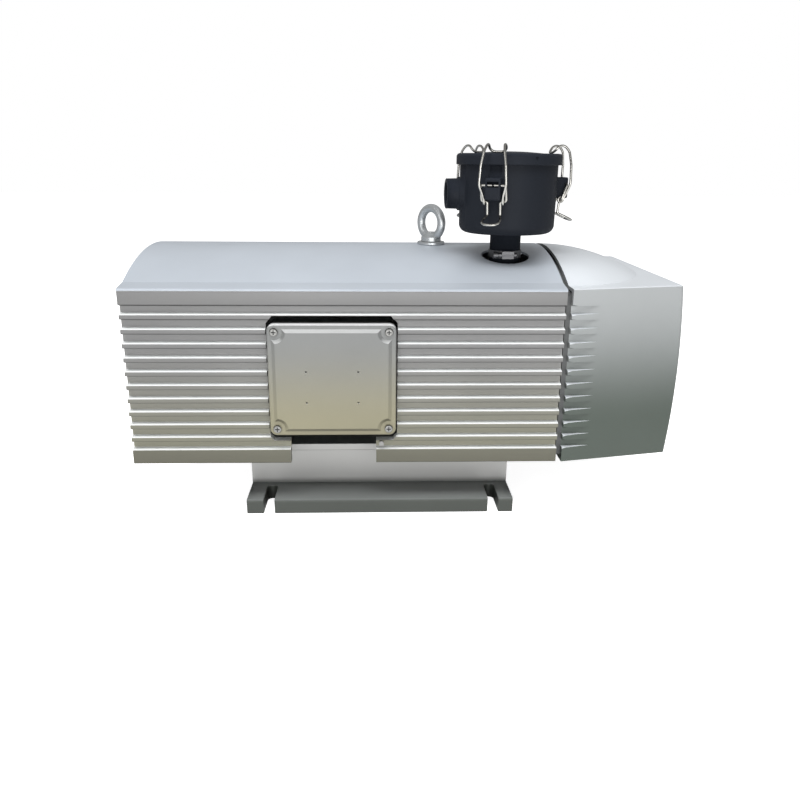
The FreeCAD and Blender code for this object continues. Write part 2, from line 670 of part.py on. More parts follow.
lid = cyl_z(lid_radius, rim_low, lid_top, filter_x, filter_y)
rims = [e for e in lid.Edges if abs(e.CenterOfMass.z - lid_top) < 0.1 and len(e.Vertexes) == 1]
lid = lid.makeFillet(4.5, rims)
lid_under = lid_top - lid_plate
lid = lid.cut(cyl_z(canister_radius + fit_gap, rim_low - 1, lid_under, filter_x, filter_y))
dome_ball = (dome_radius ** 2 + dome_rise ** 2) / (2 * dome_rise)
dome = Part.makeSphere(dome_ball, V(filter_x, filter_y, lid_top + dome_rise - dome_ball))
dome = dome.common(cyl_z(dome_radius + 3, lid_top - 1, lid_top + 9, filter_x, filter_y))
lid = lid.fuse(dome).removeSplitter()
lid = lid.cut(Part.makeSphere(1.5, V(filter_x + 24.0, filter_y - lid_radius + 4.2, lid_top - 6)))
export(lid, "filter_lid")
gasket = cyl_z(canister_radius, can_top, lid_under, filter_x, filter_y)
gasket = gasket.cut(cyl_z(canister_radius - 5, can_top - 1, lid_top, filter_x, filter_y))
export(gasket, "lid_gasket")
star = []
for k in range(72):
    a = 2 * math.pi * k / 72
    r = 46.0 if k % 2 else 40.0
    star.append(V(filter_x + r * math.cos(a), filter_y + r * math.sin(a), canister_bottom + 7.5))
star.append(star[0])
paper = Part.Face(Part.makePolygon(star)).extrude(V(0, 0, lid_under - 5 - canister_bottom - 7.5))
element = fuse([
    paper, cyl_z(48.0, canister_bottom + 3.5, canister_bottom + 8, filter_x, filter_y),
    cyl_z(48.0, lid_under - 5, lid_under, filter_x, filter_y),
])
element = element.cut(cyl_z(28.0, canister_bottom, lid_top, filter_x, filter_y))
export(element, "filter_element")

# Wire clips.
jog_out = 5.5
jog_drop = -20.0
eye_t = 12.35
eye_ring = 3.4
for n, az in enumerate(clip_azimuths):
    half = [(pin_out, 0.6, 0), (pin_out, 16.2, 0), (jog_out, 16.2, jog_drop), (jog_out, 8.5, jog_drop)]
    half = half + [(3.4, 8.5, -38), (13.5, 11.5, -42.5), (25.5, 8.5, -47.9)]
    path = [clip_point(az, u, t, z) for u, t, z in half]
    path = path + [clip_point(az, u, -t, z) for u, t, z in reversed(half)]
    export(wire_rod(path, wire_radius, 2.6), "clip_lever_" + str(n + 1))
    arm = [(jog_out + eye_ring, eye_t, jog_drop), (jog_out + eye_ring + 2.5, eye_t + 0.5, jog_drop + 6)]
    arm = arm + [(16.2, 17.6, 0), (16.0, 16.0, 25), (13.5, 13.0, 42), (6.5, 11.0, 50.2)]
    arm = arm + [(-1.0, 11.0, 48.5), (-7.5, 11.0, clip_drop + wire_radius)]
    path = [clip_point(az, u, t, z) for u, t, z in arm]
    path = path + [clip_point(az, u, -t, z) for u, t, z in reversed(arm)]
    bail = wire_rod(path, wire_radius, 5.0)
    for t in (eye_t, -eye_t):
        c = clip_point(az, jog_out, t, jog_drop)
        axis = clip_point(az, jog_out, t + 1, jog_drop) - c
        bail = bail.fuse(Part.makeTorus(eye_ring, wire_radius, c, axis))
    export(bail, "clip_bail_" + str(n + 1))

# Lifting eye.
washer_top = crown_height + 4.0
washer = cyl_z(20.0, crown_height, washer_top, eye_x, 0)
washer = washer.cut(cyl_z(6.0, crown_height - 1, washer_top + 1, eye_x, 0))
export(washer, "eye_washer")
ring_dir = V(math.sin(math.radians(eye_turn)), math.cos(math.radians(eye_turn)), 0)
ring = Part.makeTorus(eye_radius, eye_wire, V(eye_x, 0, eye_centre), ring_dir)
collar = cyl_z(14.5, washer_top, washer_top + 7.5, eye_x, 0)
collar = collar.makeFillet(1.5, [e for e in collar.Edges if len(e.Vertexes) == 1])
neck = Part.makeCone(12.0, 8.0, 5.0, V(eye_x, 0, washer_top + 7.0))
shank = cyl_z(6.0, shaft_height + 113, washer_top + 1, eye_x, 0)
export(fuse([ring, collar, neck, shank]), "eye_bolt")

# Terminal box, lid and screws.
lid_back = -(lid_face - lid_depth)
bx0 = box_centre_x - lid_width / 2 + 2.2
bx1 = box_centre_x + lid_width / 2 - 2.2
bz0 = box_centre_z - lid_height / 2 + 2.2
bz1 = box_centre_z + lid_height / 2 - 2.2
t_box = box(bx0, bx1, lid_back, pad_face, bz0, bz1)
t_box = t_box.makeFillet(7.0, [e for e in t_box.Edges if abs(e.Vertexes[0].Y - e.Vertexes[1].Y) > 10])
t_box = t_box.cut(box(bx0 + 4, bx1 - 4, lid_back - 1, pad_face - 4, bz0 + 4, bz1 - 4))
screw_spots = []
for sx in (-1, 1):
    for sz in (-1, 1):
        spot_x = box_centre_x + sx * (lid_width / 2 - 9.5)
        screw_spots.append((spot_x, box_centre_z + sz * (lid_height / 2 - 9.5)))
for px, pz in screw_spots:
    t_box = t_box.fuse(cyl_y(6.0, lid_back, pad_face - 2, px, pz))
for px, pz in screw_spots:
    t_box = t_box.cut(cyl_y(2.5, lid_back - 1, lid_back + 14, px, pz))
gland_y = (lid_back + pad_face) / 2 - 1.5
gland_radius = 12.5
t_box = t_box.cut(cyl_y(16.0, pad_face - 6, pad_face + 1, box_centre_x, box_centre_z))
t_box = t_box.cut(cyl_z(gland_radius, bz0 - 1, bz0 + 5, box_centre_x, gland_y))
export(t_box.removeSplitter(), "terminal_box")
lx0 = box_centre_x - lid_width / 2
lx1 = box_centre_x + lid_width / 2
lz0 = box_centre_z - lid_height / 2
lz1 = box_centre_z + lid_height / 2
t_lid = box(lx0, lx1, -lid_face, lid_back, lz0, lz1)
t_lid = t_lid.makeFillet(9.0, [e for e in t_lid.Edges if abs(e.Vertexes[0].Y - e.Vertexes[1].Y) > 5])
t_lid = t_lid.makeFillet(2.0, [e for e in t_lid.Edges if abs(e.CenterOfMass.y + lid_face) < 0.01])
raised = box(lx0 + 6, lx1 - 6, -lid_face - panel_proud, -lid_face + 1, lz0 + 6, lz1 - 6)
for px, pz in screw_spots:
    raised = raised.cut(cyl_y(11.0, -lid_face - 5, -lid_face + 2, px, pz))
crest = [e for e in raised.Edges if abs(e.CenterOfMass.y + lid_face + panel_proud) < 0.01]
raised = raised.makeChamfer(2.4, crest)
t_lid = t_lid.fuse(raised)
for px, pz in screw_spots:
    t_lid = t_lid.cut(cyl_y(2.8, -lid_face - 5, lid_back + 1, px, pz))
for sx in (-1, 1):
    for sz in (-1, 1):
        hole_z = box_centre_z - 7.4 + sz * 20.7
        t_lid = t_lid.cut(cyl_y(1.3, -lid_face - 5, -lid_face + 2, box_centre_x + sx * 33.5, hole_z))
export(t_lid.removeSplitter(), "terminal_lid")
screws = []
for px, pz in screw_spots:
    head = cyl_y(5.4, -lid_face - 3.4, -lid_face, px, pz)
    head = head.makeFillet(1.8, [e for e in head.Edges if abs(e.CenterOfMass.y + lid_face + 3.4) < 0.01])
    body = head.fuse(cyl_y(2.5, -lid_face, lid_back + 12, px, pz))
    body = body.cut(box(px - 3, px + 3, -lid_face - 4, -lid_face - 1.8, pz - 0.6, pz + 0.6))
    body = body.cut(box(px - 0.6, px + 0.6, -lid_face - 4, -lid_face - 1.8, pz - 3, pz + 3))
    screws.append(body)
export(Part.makeCompound(screws), "terminal_screws")
gland = cyl_z(gland_radius, bz0, bz0 + 8, box_centre_x, gland_y)
hexa = []
for k in range(7):
    a = math.radians(60 * k)
    hexa.append(V(box_centre_x + 17 * math.cos(a), gland_y + 17 * math.sin(a), bz0 - 6))
nut = Part.Face(Part.makePolygon(hexa)).extrude(V(0, 0, 6))
gland = fuse([gland, nut, cyl_z(12.0, bz0 - 14, bz0 - 6, box_centre_x, gland_y)])
gland = gland.cut(cyl_z(8.0, bz0 - 15, bz0 + 9, box_centre_x, gland_y))
export(gland, "cable_gland")

# Exhaust flange through the rear panel.
ex = cyl_y(exhaust_body, block_half, half_width, exhaust_x, exhaust_z)
ex = ex.fuse(cyl_y(36.0, half_width, lid_face + panel_proud, exhaust_x, exhaust_z))
ex = ex.cut(cyl_y(19.5, block_half + 20, lid_face + 4, exhaust_x, exhaust_z))
ex = ex.cut(cyl_y(15.0, block_half - 1, block_half + 21, exhaust_x, exhaust_z))
export(ex.removeSplitter(), "exhaust_flange")

# Casing screws: grille, hood and the one beside the notch.
fixings = []
for gy, gz in grille_screws:
    s = cyl_x(5.0, grille_x - 4, grille_x, gy, gz).fuse(cyl_x(3.0, grille_x, grille_x + 14, gy, gz))
    fixings.append(s.removeSplitter())
for by in boss_ys:
    for bz in boss_zs:
        s = cyl_x(5.0, flange_x0 - 5, flange_x0, by, bz).fuse(cyl_x(2.5, flange_x0, x_hood + 20, by, bz))
        fixings.append(s.removeSplitter())
s = cyl_y(3.4, -half_width - 2.2, -half_width, notch_screw_x, notch_screw_z)
s = s.fuse(cyl_y(2.0, -half_width, -panel_inner, notch_screw_x, notch_screw_z))
fixings.append(s.removeSplitter())
export(Part.makeCompound(fixings), "casing_screws")
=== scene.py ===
"""Dry rotary vane vacuum pump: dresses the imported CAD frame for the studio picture."""

from __future__ import annotations

import json
import logging
import math
from dataclasses import dataclass
from enum import Enum
from typing import Iterable, Sequence

import bmesh
import bpy
from mathutils import Matrix, Vector

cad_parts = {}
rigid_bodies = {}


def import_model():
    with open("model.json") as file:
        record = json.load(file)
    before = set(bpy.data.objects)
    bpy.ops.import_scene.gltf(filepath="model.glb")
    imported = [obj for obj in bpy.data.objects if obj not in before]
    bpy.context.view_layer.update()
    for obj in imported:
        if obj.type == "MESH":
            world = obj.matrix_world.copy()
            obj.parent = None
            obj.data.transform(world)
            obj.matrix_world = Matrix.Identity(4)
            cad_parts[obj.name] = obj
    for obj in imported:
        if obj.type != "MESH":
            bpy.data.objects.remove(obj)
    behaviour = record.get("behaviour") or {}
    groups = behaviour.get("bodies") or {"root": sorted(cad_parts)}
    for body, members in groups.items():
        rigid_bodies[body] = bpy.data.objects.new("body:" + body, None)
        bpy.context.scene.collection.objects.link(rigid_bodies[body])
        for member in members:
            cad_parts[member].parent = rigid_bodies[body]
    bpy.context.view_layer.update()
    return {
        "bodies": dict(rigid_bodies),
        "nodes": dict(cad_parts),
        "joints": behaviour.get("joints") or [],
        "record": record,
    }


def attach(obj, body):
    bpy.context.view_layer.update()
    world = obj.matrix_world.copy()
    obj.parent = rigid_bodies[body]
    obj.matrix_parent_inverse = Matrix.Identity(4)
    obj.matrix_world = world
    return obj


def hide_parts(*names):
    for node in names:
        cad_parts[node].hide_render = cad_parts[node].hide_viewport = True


LOG = logging.getLogger("pump_scene")
MM = 0.001
LOOK_PREFIX = "look_"
UP = Vector((0, 0, 1))
FRONT = Vector((0, -1, 0))
POLE_RADIUS = 1e-6
Point = tuple[float, float, float]
Outline = list[tuple[float, float]]


class Surface(Enum):
    """How a finish breaks up its colour."""

    PLAIN = "plain"
    GRAINED = "grained"


def add_node(tree: bpy.types.NodeTree, kind: str, inputs: dict, **settings: object) -> bpy.types.Node:
    """Add a node, set it up and feed its inputs.

    Args:
        tree: Shader or geometry node tree.
        kind: Node type.
        inputs: A value, an output socket or a list of output sockets for each input.
        settings: Properties that are set before the inputs.

    Returns:
        The new node.
    """
    node = tree.nodes.new(kind)
    for key, value in settings.items():
        setattr(node, key, value)
    for key, value in inputs.items():
        for one in value if isinstance(value, list) else [value]:
            if isinstance(one, bpy.types.NodeSocket):
                tree.links.new(one, node.inputs[key])
            else:
                node.inputs[key].default_value = one
    return node


@dataclass(frozen=True)
class Finish:
    """One paint, metal, plastic or paper finish.

    Args:
        name: Material name.
        colour: Linear base colour.
        metallic: Metallic share.
        roughness: Surface roughness.
        surface: The way the colour is broken up.
        low_painted_light: Painted shade and reflection colour near the floor, or None for an even colour.
        fade: Heights in metres where the low colour ends and the main colour starts.
        grain: Strength of the fine bump.
        grain_scale: Number of grains per metre.
        up_painted_light: Painted light on faces that look up, a painted highlight or a darker painted
            reflection; given with every low colour.
        outer_painted_shade: Painted shade, the brightness of the outermost wall faces.
        skirt: Height in metres below which the paint is darker.
        gloss: Specular level.
    """

    name: str
    colour: Point
    metallic: float = 0.0
    roughness: float = 0.5
    surface: Surface = Surface.PLAIN
    low_painted_light: Point | None = None
    fade: tuple[float, float] = (0.06, 0.27)
    grain: float = 0.0
    grain_scale: float = 900.0
    up_painted_light: Point = (1.0, 1.0, 1.0)
    outer_painted_shade: float = 1.0
    skirt: float = 0.0
    gloss: float = 0.5

    CLOUD_SCALE = 9.0
    CLOUD_RANGE = (0.90, 1.08)
    # Distances from the middle, in metres, over which the painted shade of the outermost wall faces comes in.
    OUTER_SHADE_DEPTHS = (0.1825, 0.1885)
    SKIRT_EDGE = 0.002
    SKIRT_SHADE = 0.62
    # Painted shade: faces that look down are dimmed to this share over this range of normal heights.
    UNDER_RANGE = (-0.75, -0.25)
    UNDER_SHADE = 0.3
    # Normal heights over which the up colour's painted light comes in.
    UPWARD_RANGE = (0.35, 0.85)
    GRAIN_HEIGHT = 0.0004

    def material(self) -> bpy.types.Material:
        """Return the node material, built on first use.

        Returns:
            The finished material.
        """
        made = bpy.data.materials.get(LOOK_PREFIX + self.name)
        if made is not None:
            return made
        mat = bpy.data.materials.new(LOOK_PREFIX + self.name)
        mat.use_nodes = True
        shader = mat.node_tree.nodes["Principled BSDF"]
        shader.inputs["Base Color"].default_value = (*self.colour, 1.0)
        shader.inputs["Metallic"].default_value = self.metallic
        shader.inputs["Roughness"].default_value = self.roughness
        shader.inputs["Specular IOR Level"].default_value = self.gloss
        if self.surface is not Surface.PLAIN:
            self._break_up(mat.node_tree, shader)
        return mat

    @staticmethod
    def _ranged(tree: bpy.types.NodeTree, value: bpy.types.NodeSocket, start: tuple[float, float],
                result: tuple[float, float] = (0.0, 1.0), curve: str = "LINEAR") -> bpy.types.NodeSocket:
        """Map a value from one range to another and return the result."""
        ends = {"From Min": start[0], "From Max": start[1], "To Min": result[0], "To Max": result[1]}
        node = add_node(tree, "ShaderNodeMapRange", {"Value": value, **ends}, interpolation_type=curve)
        return node.outputs["Result"]

    @staticmethod
    def _mixed(tree: bpy.types.NodeTree, share: object, first: object, second: object,
               way: str = "MIX") -> bpy.types.NodeSocket:
        """Mix two colours and return the result."""
        node = add_node(tree, "ShaderNodeMix", {"Factor": share, 6: first, 7: second},
                        data_type="RGBA", blend_type=way)
        return node.outputs[2]

    def _break_up(self, tree: bpy.types.NodeTree, shader: bpy.types.Node) -> None:
        """Add cloudy colour, optional painted shade and reflection near the floor with painted light by facing,
        and a fine bump.

        Args:
            tree: The material's node tree.
            shader: Its main shader.
        """
        coords = add_node(tree, "ShaderNodeTexCoord", {}).outputs["Object"]
        noise = {"Vector": coords, "Scale": self.CLOUD_SCALE, "Detail": 4.0}
        cloud = add_node(tree, "ShaderNodeTexNoise", noise)
        spread = self._ranged(tree, cloud.outputs["Fac"], (0.0, 1.0), self.CLOUD_RANGE)
        colour = (*self.colour, 1.0)
        # Painted shade and painted reflection: the low colour fades into the main colour with height, then
        # painted light by depth and facing is added.
        if self.low_painted_light is not None:
            place = add_node(tree, "ShaderNodeSeparateXYZ", {"Vector": coords})
            height = self._ranged(tree, place.outputs["Z"], self.fade, curve="SMOOTHSTEP")
            colour = self._mixed(tree, height, (*self.low_painted_light, 1.0), colour)
            colour = self._paint_light_and_shade(tree, place, colour)
        tint = self._mixed(tree, 1.0, colour, spread, "MULTIPLY")
        tree.links.new(tint, shader.inputs["Base Color"])
        if self.grain > 0.0:
            noise = {"Vector": coords, "Scale": self.grain_scale, "Detail": 2.0}
            fine = add_node(tree, "ShaderNodeTexNoise", noise)
            bump = add_node(tree, "ShaderNodeBump", {"Height": fine.outputs["Fac"], "Strength": self.grain,
                                                     "Distance": self.GRAIN_HEIGHT})
            tree.links.new(bump.outputs["Normal"], shader.inputs["Normal"])

    def _paint_light_and_shade(self, tree: bpy.types.NodeTree, place: bpy.types.Node,
                   colour: bpy.types.NodeSocket) -> bpy.types.NodeSocket:
        """Paint light and shade: dim the outermost faces and what faces down (painted shade), darken the paint
        below the skirt height, and recolour what faces up (painted highlight, on the base a darker painted
        reflection).

        Args:
            tree: The material's node tree.
            place: The separated object coordinates.
            colour: The colour so far.

        Returns:
            The changed colour.
        """
        across = add_node(tree, "ShaderNodeMath", {0: place.outputs["Y"]}, operation="ABSOLUTE").outputs[0]
        normal = add_node(tree, "ShaderNodeNewGeometry", {}).outputs["Normal"]
        turn = add_node(tree, "ShaderNodeSeparateXYZ", {"Vector": normal}).outputs["Z"]
        # Painted shade on the outermost faces and on downward faces, and darker paint below the skirt height.
        shade_share = self._ranged(tree, across, self.OUTER_SHADE_DEPTHS, (1.0, self.outer_painted_shade))
        foot = (self.skirt - self.SKIRT_EDGE, self.skirt)
        for other in (self._ranged(tree, place.outputs["Z"], foot, (self.SKIRT_SHADE, 1.0)),
                      self._ranged(tree, turn, self.UNDER_RANGE, (self.UNDER_SHADE, 1.0))):
            both = add_node(tree, "ShaderNodeMath", {0: shade_share, 1: other}, operation="MULTIPLY")
            shade_share = both.outputs[0]
        dim = self._mixed(tree, 1.0, colour, shade_share, "MULTIPLY")
        # Painted light on upward faces: a painted highlight, or a darker painted reflection.
        upward = self._ranged(tree, turn, self.UPWARD_RANGE)
        return self._mixed(tree, upward, dim, (*self.up_painted_light, 1.0))


# Wall paint with painted light: an olive painted reflection low down, a painted highlight on the upward rib
# tops, painted shade on the outermost and downward faces, and darker paint below the last rib.
WALL_PAINT = Finish("wall_paint", (0.228, 0.228, 0.227), 0.25, 0.40, Surface.GRAINED,
                    (0.235, 0.23, 0.175), (0.09, 0.24), 0.16, up_painted_light=(0.80, 0.82, 0.82),
                    outer_painted_shade=0.74, skirt=0.0945)
COVER_PAINT = Finish("cover_paint", (0.47, 0.51, 0.56), 0.40, 0.34, Surface.GRAINED, grain=0.12)
# Hood paint with painted light: dark green painted shade and reflection on the lower hood, and a painted
# highlight on faces that look up.
HOOD_PAINT = Finish("hood_paint", (0.37, 0.385, 0.39), 0.30, 0.38, Surface.GRAINED,
                    (0.072, 0.088, 0.075), (0.125, 0.32), 0.16, up_painted_light=(0.62, 0.65, 0.68))
# Lid paint with painted light: an olive painted reflection low down and a painted highlight on faces that look
# up.
LID_PAINT = Finish("lid_paint", (0.185, 0.19, 0.187), 0.35, 0.42, Surface.GRAINED,
                   (0.235, 0.22, 0.15), (0.13, 0.25), 0.30, 1300.0, up_painted_light=(0.78, 0.79, 0.79))
# Base paint with painted light: a dark painted contact shadow near the floor, and a darker painted reflection
# on faces that look up.
BASE_PAINT = Finish("base_paint", (0.43, 0.43, 0.42), 0.30, 0.42, Surface.GRAINED,
                    (0.055, 0.061, 0.054), (0.018, 0.030), 0.16, up_painted_light=(0.16, 0.17, 0.165))
CLAMP_STEEL = Finish("clamp_steel", (0.14, 0.14, 0.145), 0.9, 0.42)
# Near-black painted shade: the hood flange stands in for the dark gap between casing and hood.
FLANGE_PAINTED_SHADE = Finish("flange_painted_shade", (0.08, 0.083, 0.083), 0.30, 0.45, Surface.GRAINED, grain=0.16)
INNER_PAINT = Finish("inner_paint", (0.24, 0.24, 0.235), 0.4, 0.5, Surface.GRAINED, grain=0.2)
CAST_IRON = Finish("cast_iron", (0.16, 0.16, 0.165), 0.7, 0.5, Surface.GRAINED, grain=0.3)
STEEL_SHEET = Finish("steel_sheet", (0.35, 0.35, 0.36), 0.9, 0.38)
TURNED_STEEL = Finish("turned_steel", (0.55, 0.56, 0.58), 1.0, 0.25)
BRIGHT_WIRE = Finish("bright_wire", (0.50, 0.49, 0.46), 1.0, 0.24)
ZINC = Finish("zinc_screws", (0.28, 0.28, 0.27), 1.0, 0.36)
EYE_FINISH = Finish("eye_finish", (0.52, 0.54, 0.55), 0.80, 0.34, Surface.GRAINED, grain=0.2)
COPPER = Finish("winding_copper", (0.42, 0.16, 0.07), 0.7, 0.4)
FILTER_PLASTIC = Finish("filter_plastic", (0.0125, 0.0148, 0.0198), 0.0, 0.5, Surface.GRAINED,
                        grain=0.12, gloss=0.10)
DARK_PLASTIC = Finish("dark_plastic", (0.02, 0.02, 0.022), 0.0, 0.5)
ELASTOMER = Finish("elastomer", (0.03, 0.03, 0.03), 0.0, 0.7)
PAPER = Finish("filter_paper", (0.62, 0.54, 0.36), 0.0, 0.85)
GRAPHITE = Finish("graphite", (0.05, 0.05, 0.055), 0.3, 0.45)

FINISHED_NODES: tuple[tuple[Finish, str], ...] = (
    (BASE_PAINT, "base_frame terminal_box"),
    (WALL_PAINT, "side_panel_front side_panel_rear"),
    (COVER_PAINT, "top_cover"),
    (HOOD_PAINT, "end_hood"),
    (FLANGE_PAINTED_SHADE, "hood_flange"),
    (INNER_PAINT, "end_grille motor_housing motor_shield_fan motor_shield_drive bell_housing exhaust_silencer"),
    (LID_PAINT, "terminal_lid"),
    (STEEL_SHEET, "stator_core motor_rotor_core"),
    (COPPER, "stator_winding"),
    (TURNED_STEEL, "bearing_outer_rings bearing_inner_rings bearing_balls motor_shaft pump_shaft"),
    (DARK_PLASTIC, "motor_fan cooling_fan cable_gland"),
    (CAST_IRON, "coupling_hub_motor coupling_hub_pump pump_end_plate_drive pump_end_plate_free"),
    (CAST_IRON, "pump_cylinder pump_rotor bearing_cover suction_flange exhaust_flange"),
    (ELASTOMER, "coupling_star check_valve_disc lid_gasket"),
    (BRIGHT_WIRE, "check_valve_spring clip_lever_1 clip_lever_2 clip_lever_3"),
    (BRIGHT_WIRE, "clip_bail_1 clip_bail_2 clip_bail_3"),
    (ZINC, "suction_nipple terminal_screws casing_screws"),
    (CLAMP_STEEL, "hose_clamp"),
    (FILTER_PLASTIC, "filter_canister filter_lid"),
    (PAPER, "filter_element"),
    (EYE_FINISH, "eye_bolt eye_washer"),
    (GRAPHITE, "vane_1 vane_2 vane_3 vane_4 vane_5 vane_6 vane_7"),
)
NODE_FINISHES = {node: finish for finish, nodes in FINISHED_NODES for node in nodes.split()}


def held(name: str, data: bpy.types.ID) -> bpy.types.Object:
    """Return a new object in the scene that holds the data."""
    obj = bpy.data.objects.new(name, data)
    bpy.context.scene.collection.objects.link(obj)
    return obj


def evaluated(obj: bpy.types.Object) -> bpy.types.Mesh:
    """Return an object's mesh with its modifiers applied, and remove both."""
    graph = bpy.context.evaluated_depsgraph_get()
    mesh = bpy.data.meshes.new_from_object(obj.evaluated_get(graph))
    obj.modifiers.clear()
    bpy.data.objects.remove(obj)
    return mesh


def written(bm: bmesh.types.BMesh, name: str) -> bpy.types.Mesh:
    """Write a bmesh to a new mesh and free it."""
    mesh = bpy.data.meshes.new(name)
    bm.to_mesh(mesh)
    bm.free()
    return mesh


class Workshop:
    """Turns meshes into named pieces and ties them to the frame."""

    def __init__(self, frame: dict) -> None:
        """Keep the loaded frame.
        """
        self.nodes: dict[str, bpy.types.Object] = frame["nodes"]
        record = frame["record"]
        self.slots: dict[str, str] = {s["node"]: s["material_slot"] for s in record["subparts"]}
        self.bodies: dict[str, str] = {}
        self.done: set[str] = set()
        for body, names in record["behaviour"]["bodies"].items():
            for name in names:
                self.bodies[name] = body

    def paint_nodes(self) -> None:
        """Give every CAD node its finish."""
        for name, obj in self.nodes.items():
            obj.data.materials.clear()
            obj.data.materials.append(NODE_FINISHES[name].material())

    def piece(self, name: str, mesh: bpy.types.Mesh, nodes: Sequence[str]) -> None:
        """Add a piece that stands for CAD nodes.

        Args:
            name: Piece name.
            mesh: Its mesh, already in place.
            nodes: The CAD nodes that it stands for; the first gives finish and body.
        """
        obj = held(name, mesh)
        mesh.materials.clear()
        mesh.materials.append(NODE_FINISHES[nodes[0]].material())
        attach(obj, self.bodies[nodes[0]])
        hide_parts(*nodes)
        self.done.update(nodes)
        LOG.info("piece %s: %d faces", name, len(mesh.polygons))

    def node_copy(self, node: str) -> bpy.types.Mesh:
        """Return a merged copy of a CAD node's mesh with its flat faces dissolved.

        Args:
            node: The CAD node's name.

        Returns:
            The new mesh.
        """
        mesh = self.nodes[node].data.copy()
        bm = bmesh.new()
        bm.from_mesh(mesh)
        bmesh.ops.remove_doubles(bm, verts=bm.verts, dist=1e-6)
        bmesh.ops.dissolve_limit(bm, angle_limit=math.radians(0.4), verts=bm.verts, edges=bm.edges)
        bm.to_mesh(mesh)
        bm.free()
        return mesh


def soften(mesh: bpy.types.Mesh, width: float, angle: float = 32.0, segments: int = 2) -> bpy.types.Mesh:
    """Bevel a mesh's sharp edges and shade it smoothly.

    Args:
        mesh: The mesh to work on.
        width: Bevel width in metres, or 0 for none.
        angle: Edges over this many degrees are sharp.
        segments: Bevel segments.

    Returns:
        The softened mesh.
    """
    mesh.shade_smooth()
    mesh.set_sharp_from_angle(angle=math.radians(angle))
    holder = held("softening", mesh)
    if width > 0:
        bevel = holder.modifiers.new("bevel", "BEVEL")
        bevel.width = width
        bevel.segments = segments
        bevel.limit_method = "ANGLE"
        bevel.angle_limit = math.radians(angle)
    even = holder.modifiers.new("even_normals", "WEIGHTED_NORMAL")
    even.keep_sharp = width <= 0
    even.weight = 100
    return evaluated(holder)


def shade(mesh: bpy.types.Mesh, angle: float = 32.0) -> bpy.types.Mesh:
    """Shade a mesh smoothly except over its sharp edges.

    Args:
        mesh: The mesh to shade.
        angle: Edges over this many degrees stay sharp.

    Returns:
        The same mesh.
    """
    mesh.shade_smooth()
    mesh.set_sharp_from_angle(angle=math.radians(angle))
    return mesh


def merge(parts: Iterable[bpy.types.Mesh]) -> bpy.types.Mesh:
    """Join meshes into one, without a boolean.

    Args:
        parts: The meshes.

    Returns:
        The joined mesh.
    """
    bm = bmesh.new()
    for part in parts:
        bm.from_mesh(part)
    return written(bm, "merged")


def carve(base: bpy.types.Mesh, tools: Sequence[bpy.types.Mesh],
          operation: str = "DIFFERENCE") -> bpy.types.Mesh:
    """Run exact booleans in order.

    Args:
        base: The mesh to start from.
        tools: The meshes to cut or add.
        operation: DIFFERENCE or UNION.

    Returns:
        The result.
    """
    result = base
    for tool in tools:
        work = held("carve_base", result)
        cutter = held("carve_tool", tool)
        mod = work.modifiers.new("carve", "BOOLEAN")
        mod.operation = operation
        mod.solver = "EXACT"
        mod.object = cutter
        result = evaluated(work)
        bpy.data.objects.remove(cutter)
    return result


def lathe(profile: Sequence[tuple[float, float]], centre: Point, axis: Vector = UP,
          steps: int = 96) -> bpy.types.Mesh:
    """Turn a closed or pole-to-pole profile round an axis.

    Args:
        profile: (radius, height) points in millimetres; ends at radius 0, or the first point repeated.
        centre: The axis foot in millimetres.
        axis: The axis direction.
        steps: Number of steps round the axis.

    Returns:
        The turned mesh in metres.
    """
    bm = bmesh.new()
    closed = profile[0] == profile[-1]
    rows = profile[:-1] if closed else profile
    rings: list[list[bmesh.types.BMVert]] = []
    for radius, height in rows:
        if radius < POLE_RADIUS:
            rings.append([bm.verts.new((0, 0, height * MM))])
            continue
        ring = []
        for k in range(steps):
            a = math.tau * k / steps
            ring.append(bm.verts.new((radius * MM * math.cos(a), radius * MM * math.sin(a), height * MM)))
        rings.append(ring)
    pairs = list(zip(rings, rings[1:]))
    if closed:
        pairs.append((rings[-1], rings[0]))
    for low, high in pairs:
        for k in range(steps):
            j = (k + 1) % steps
            if len(low) == 1 and len(high) == 1:
                continue
            if len(low) == 1:
                bm.faces.new((low[0], high[j], high[k]))
            elif len(high) == 1:
                bm.faces.new((low[k], low[j], high[0]))
            else:
                bm.faces.new((low[k], low[j], high[j], high[k]))
    bmesh.ops.recalc_face_normals(bm, faces=bm.faces)
    turn = UP.rotation_difference(axis).to_matrix().to_4x4()
    bm.transform(Matrix.Translation(Vector(centre) * MM) @ turn)
    return written(bm, "turned")


def drill(radius: float, start: float, end: float, centre: Point, axis: Vector = UP,
          steps: int = 96) -> bpy.types.Mesh:
    """Return a plain round cutter.

    Args:
        radius: Its radius in millimetres.
        start: Where it starts along the axis.
        end: Where it ends along the axis.
        centre: The axis foot in millimetres.
        axis: The axis direction.
        steps: Number of steps round the axis.

    Returns:
        The cutter's mesh.
    """
    return lathe([(0, start), (radius, start), (radius, end), (0, end)], centre, axis, steps)


def block(low: Point, high: Point) -> bpy.types.Mesh:
    """Return a box between two corners given in millimetres."""
    bm = bmesh.new()
    bmesh.ops.create_cube(bm, size=1.0)
    size = Vector(high) - Vector(low)
    middle = (Vector(high) + Vector(low)) / 2
    bm.transform(Matrix.Translation(middle * MM) @ Matrix.Diagonal((*(size * MM), 1.0)))
    return written(bm, "block")


def polyline(points: Sequence[Point], cyclic: bool = False) -> bpy.types.Curve:
    """Return a poly curve through points in metres."""
    curve = bpy.data.curves.new("line", "CURVE")
    curve.dimensions = "3D"
    spline = curve.splines.new("POLY")
    spline.points.add(len(points) - 1)
    for spot, place in zip(spline.points, points):
        spot.co = (*place, 1.0)
    spline.use_cyclic_u = cyclic
    return curve


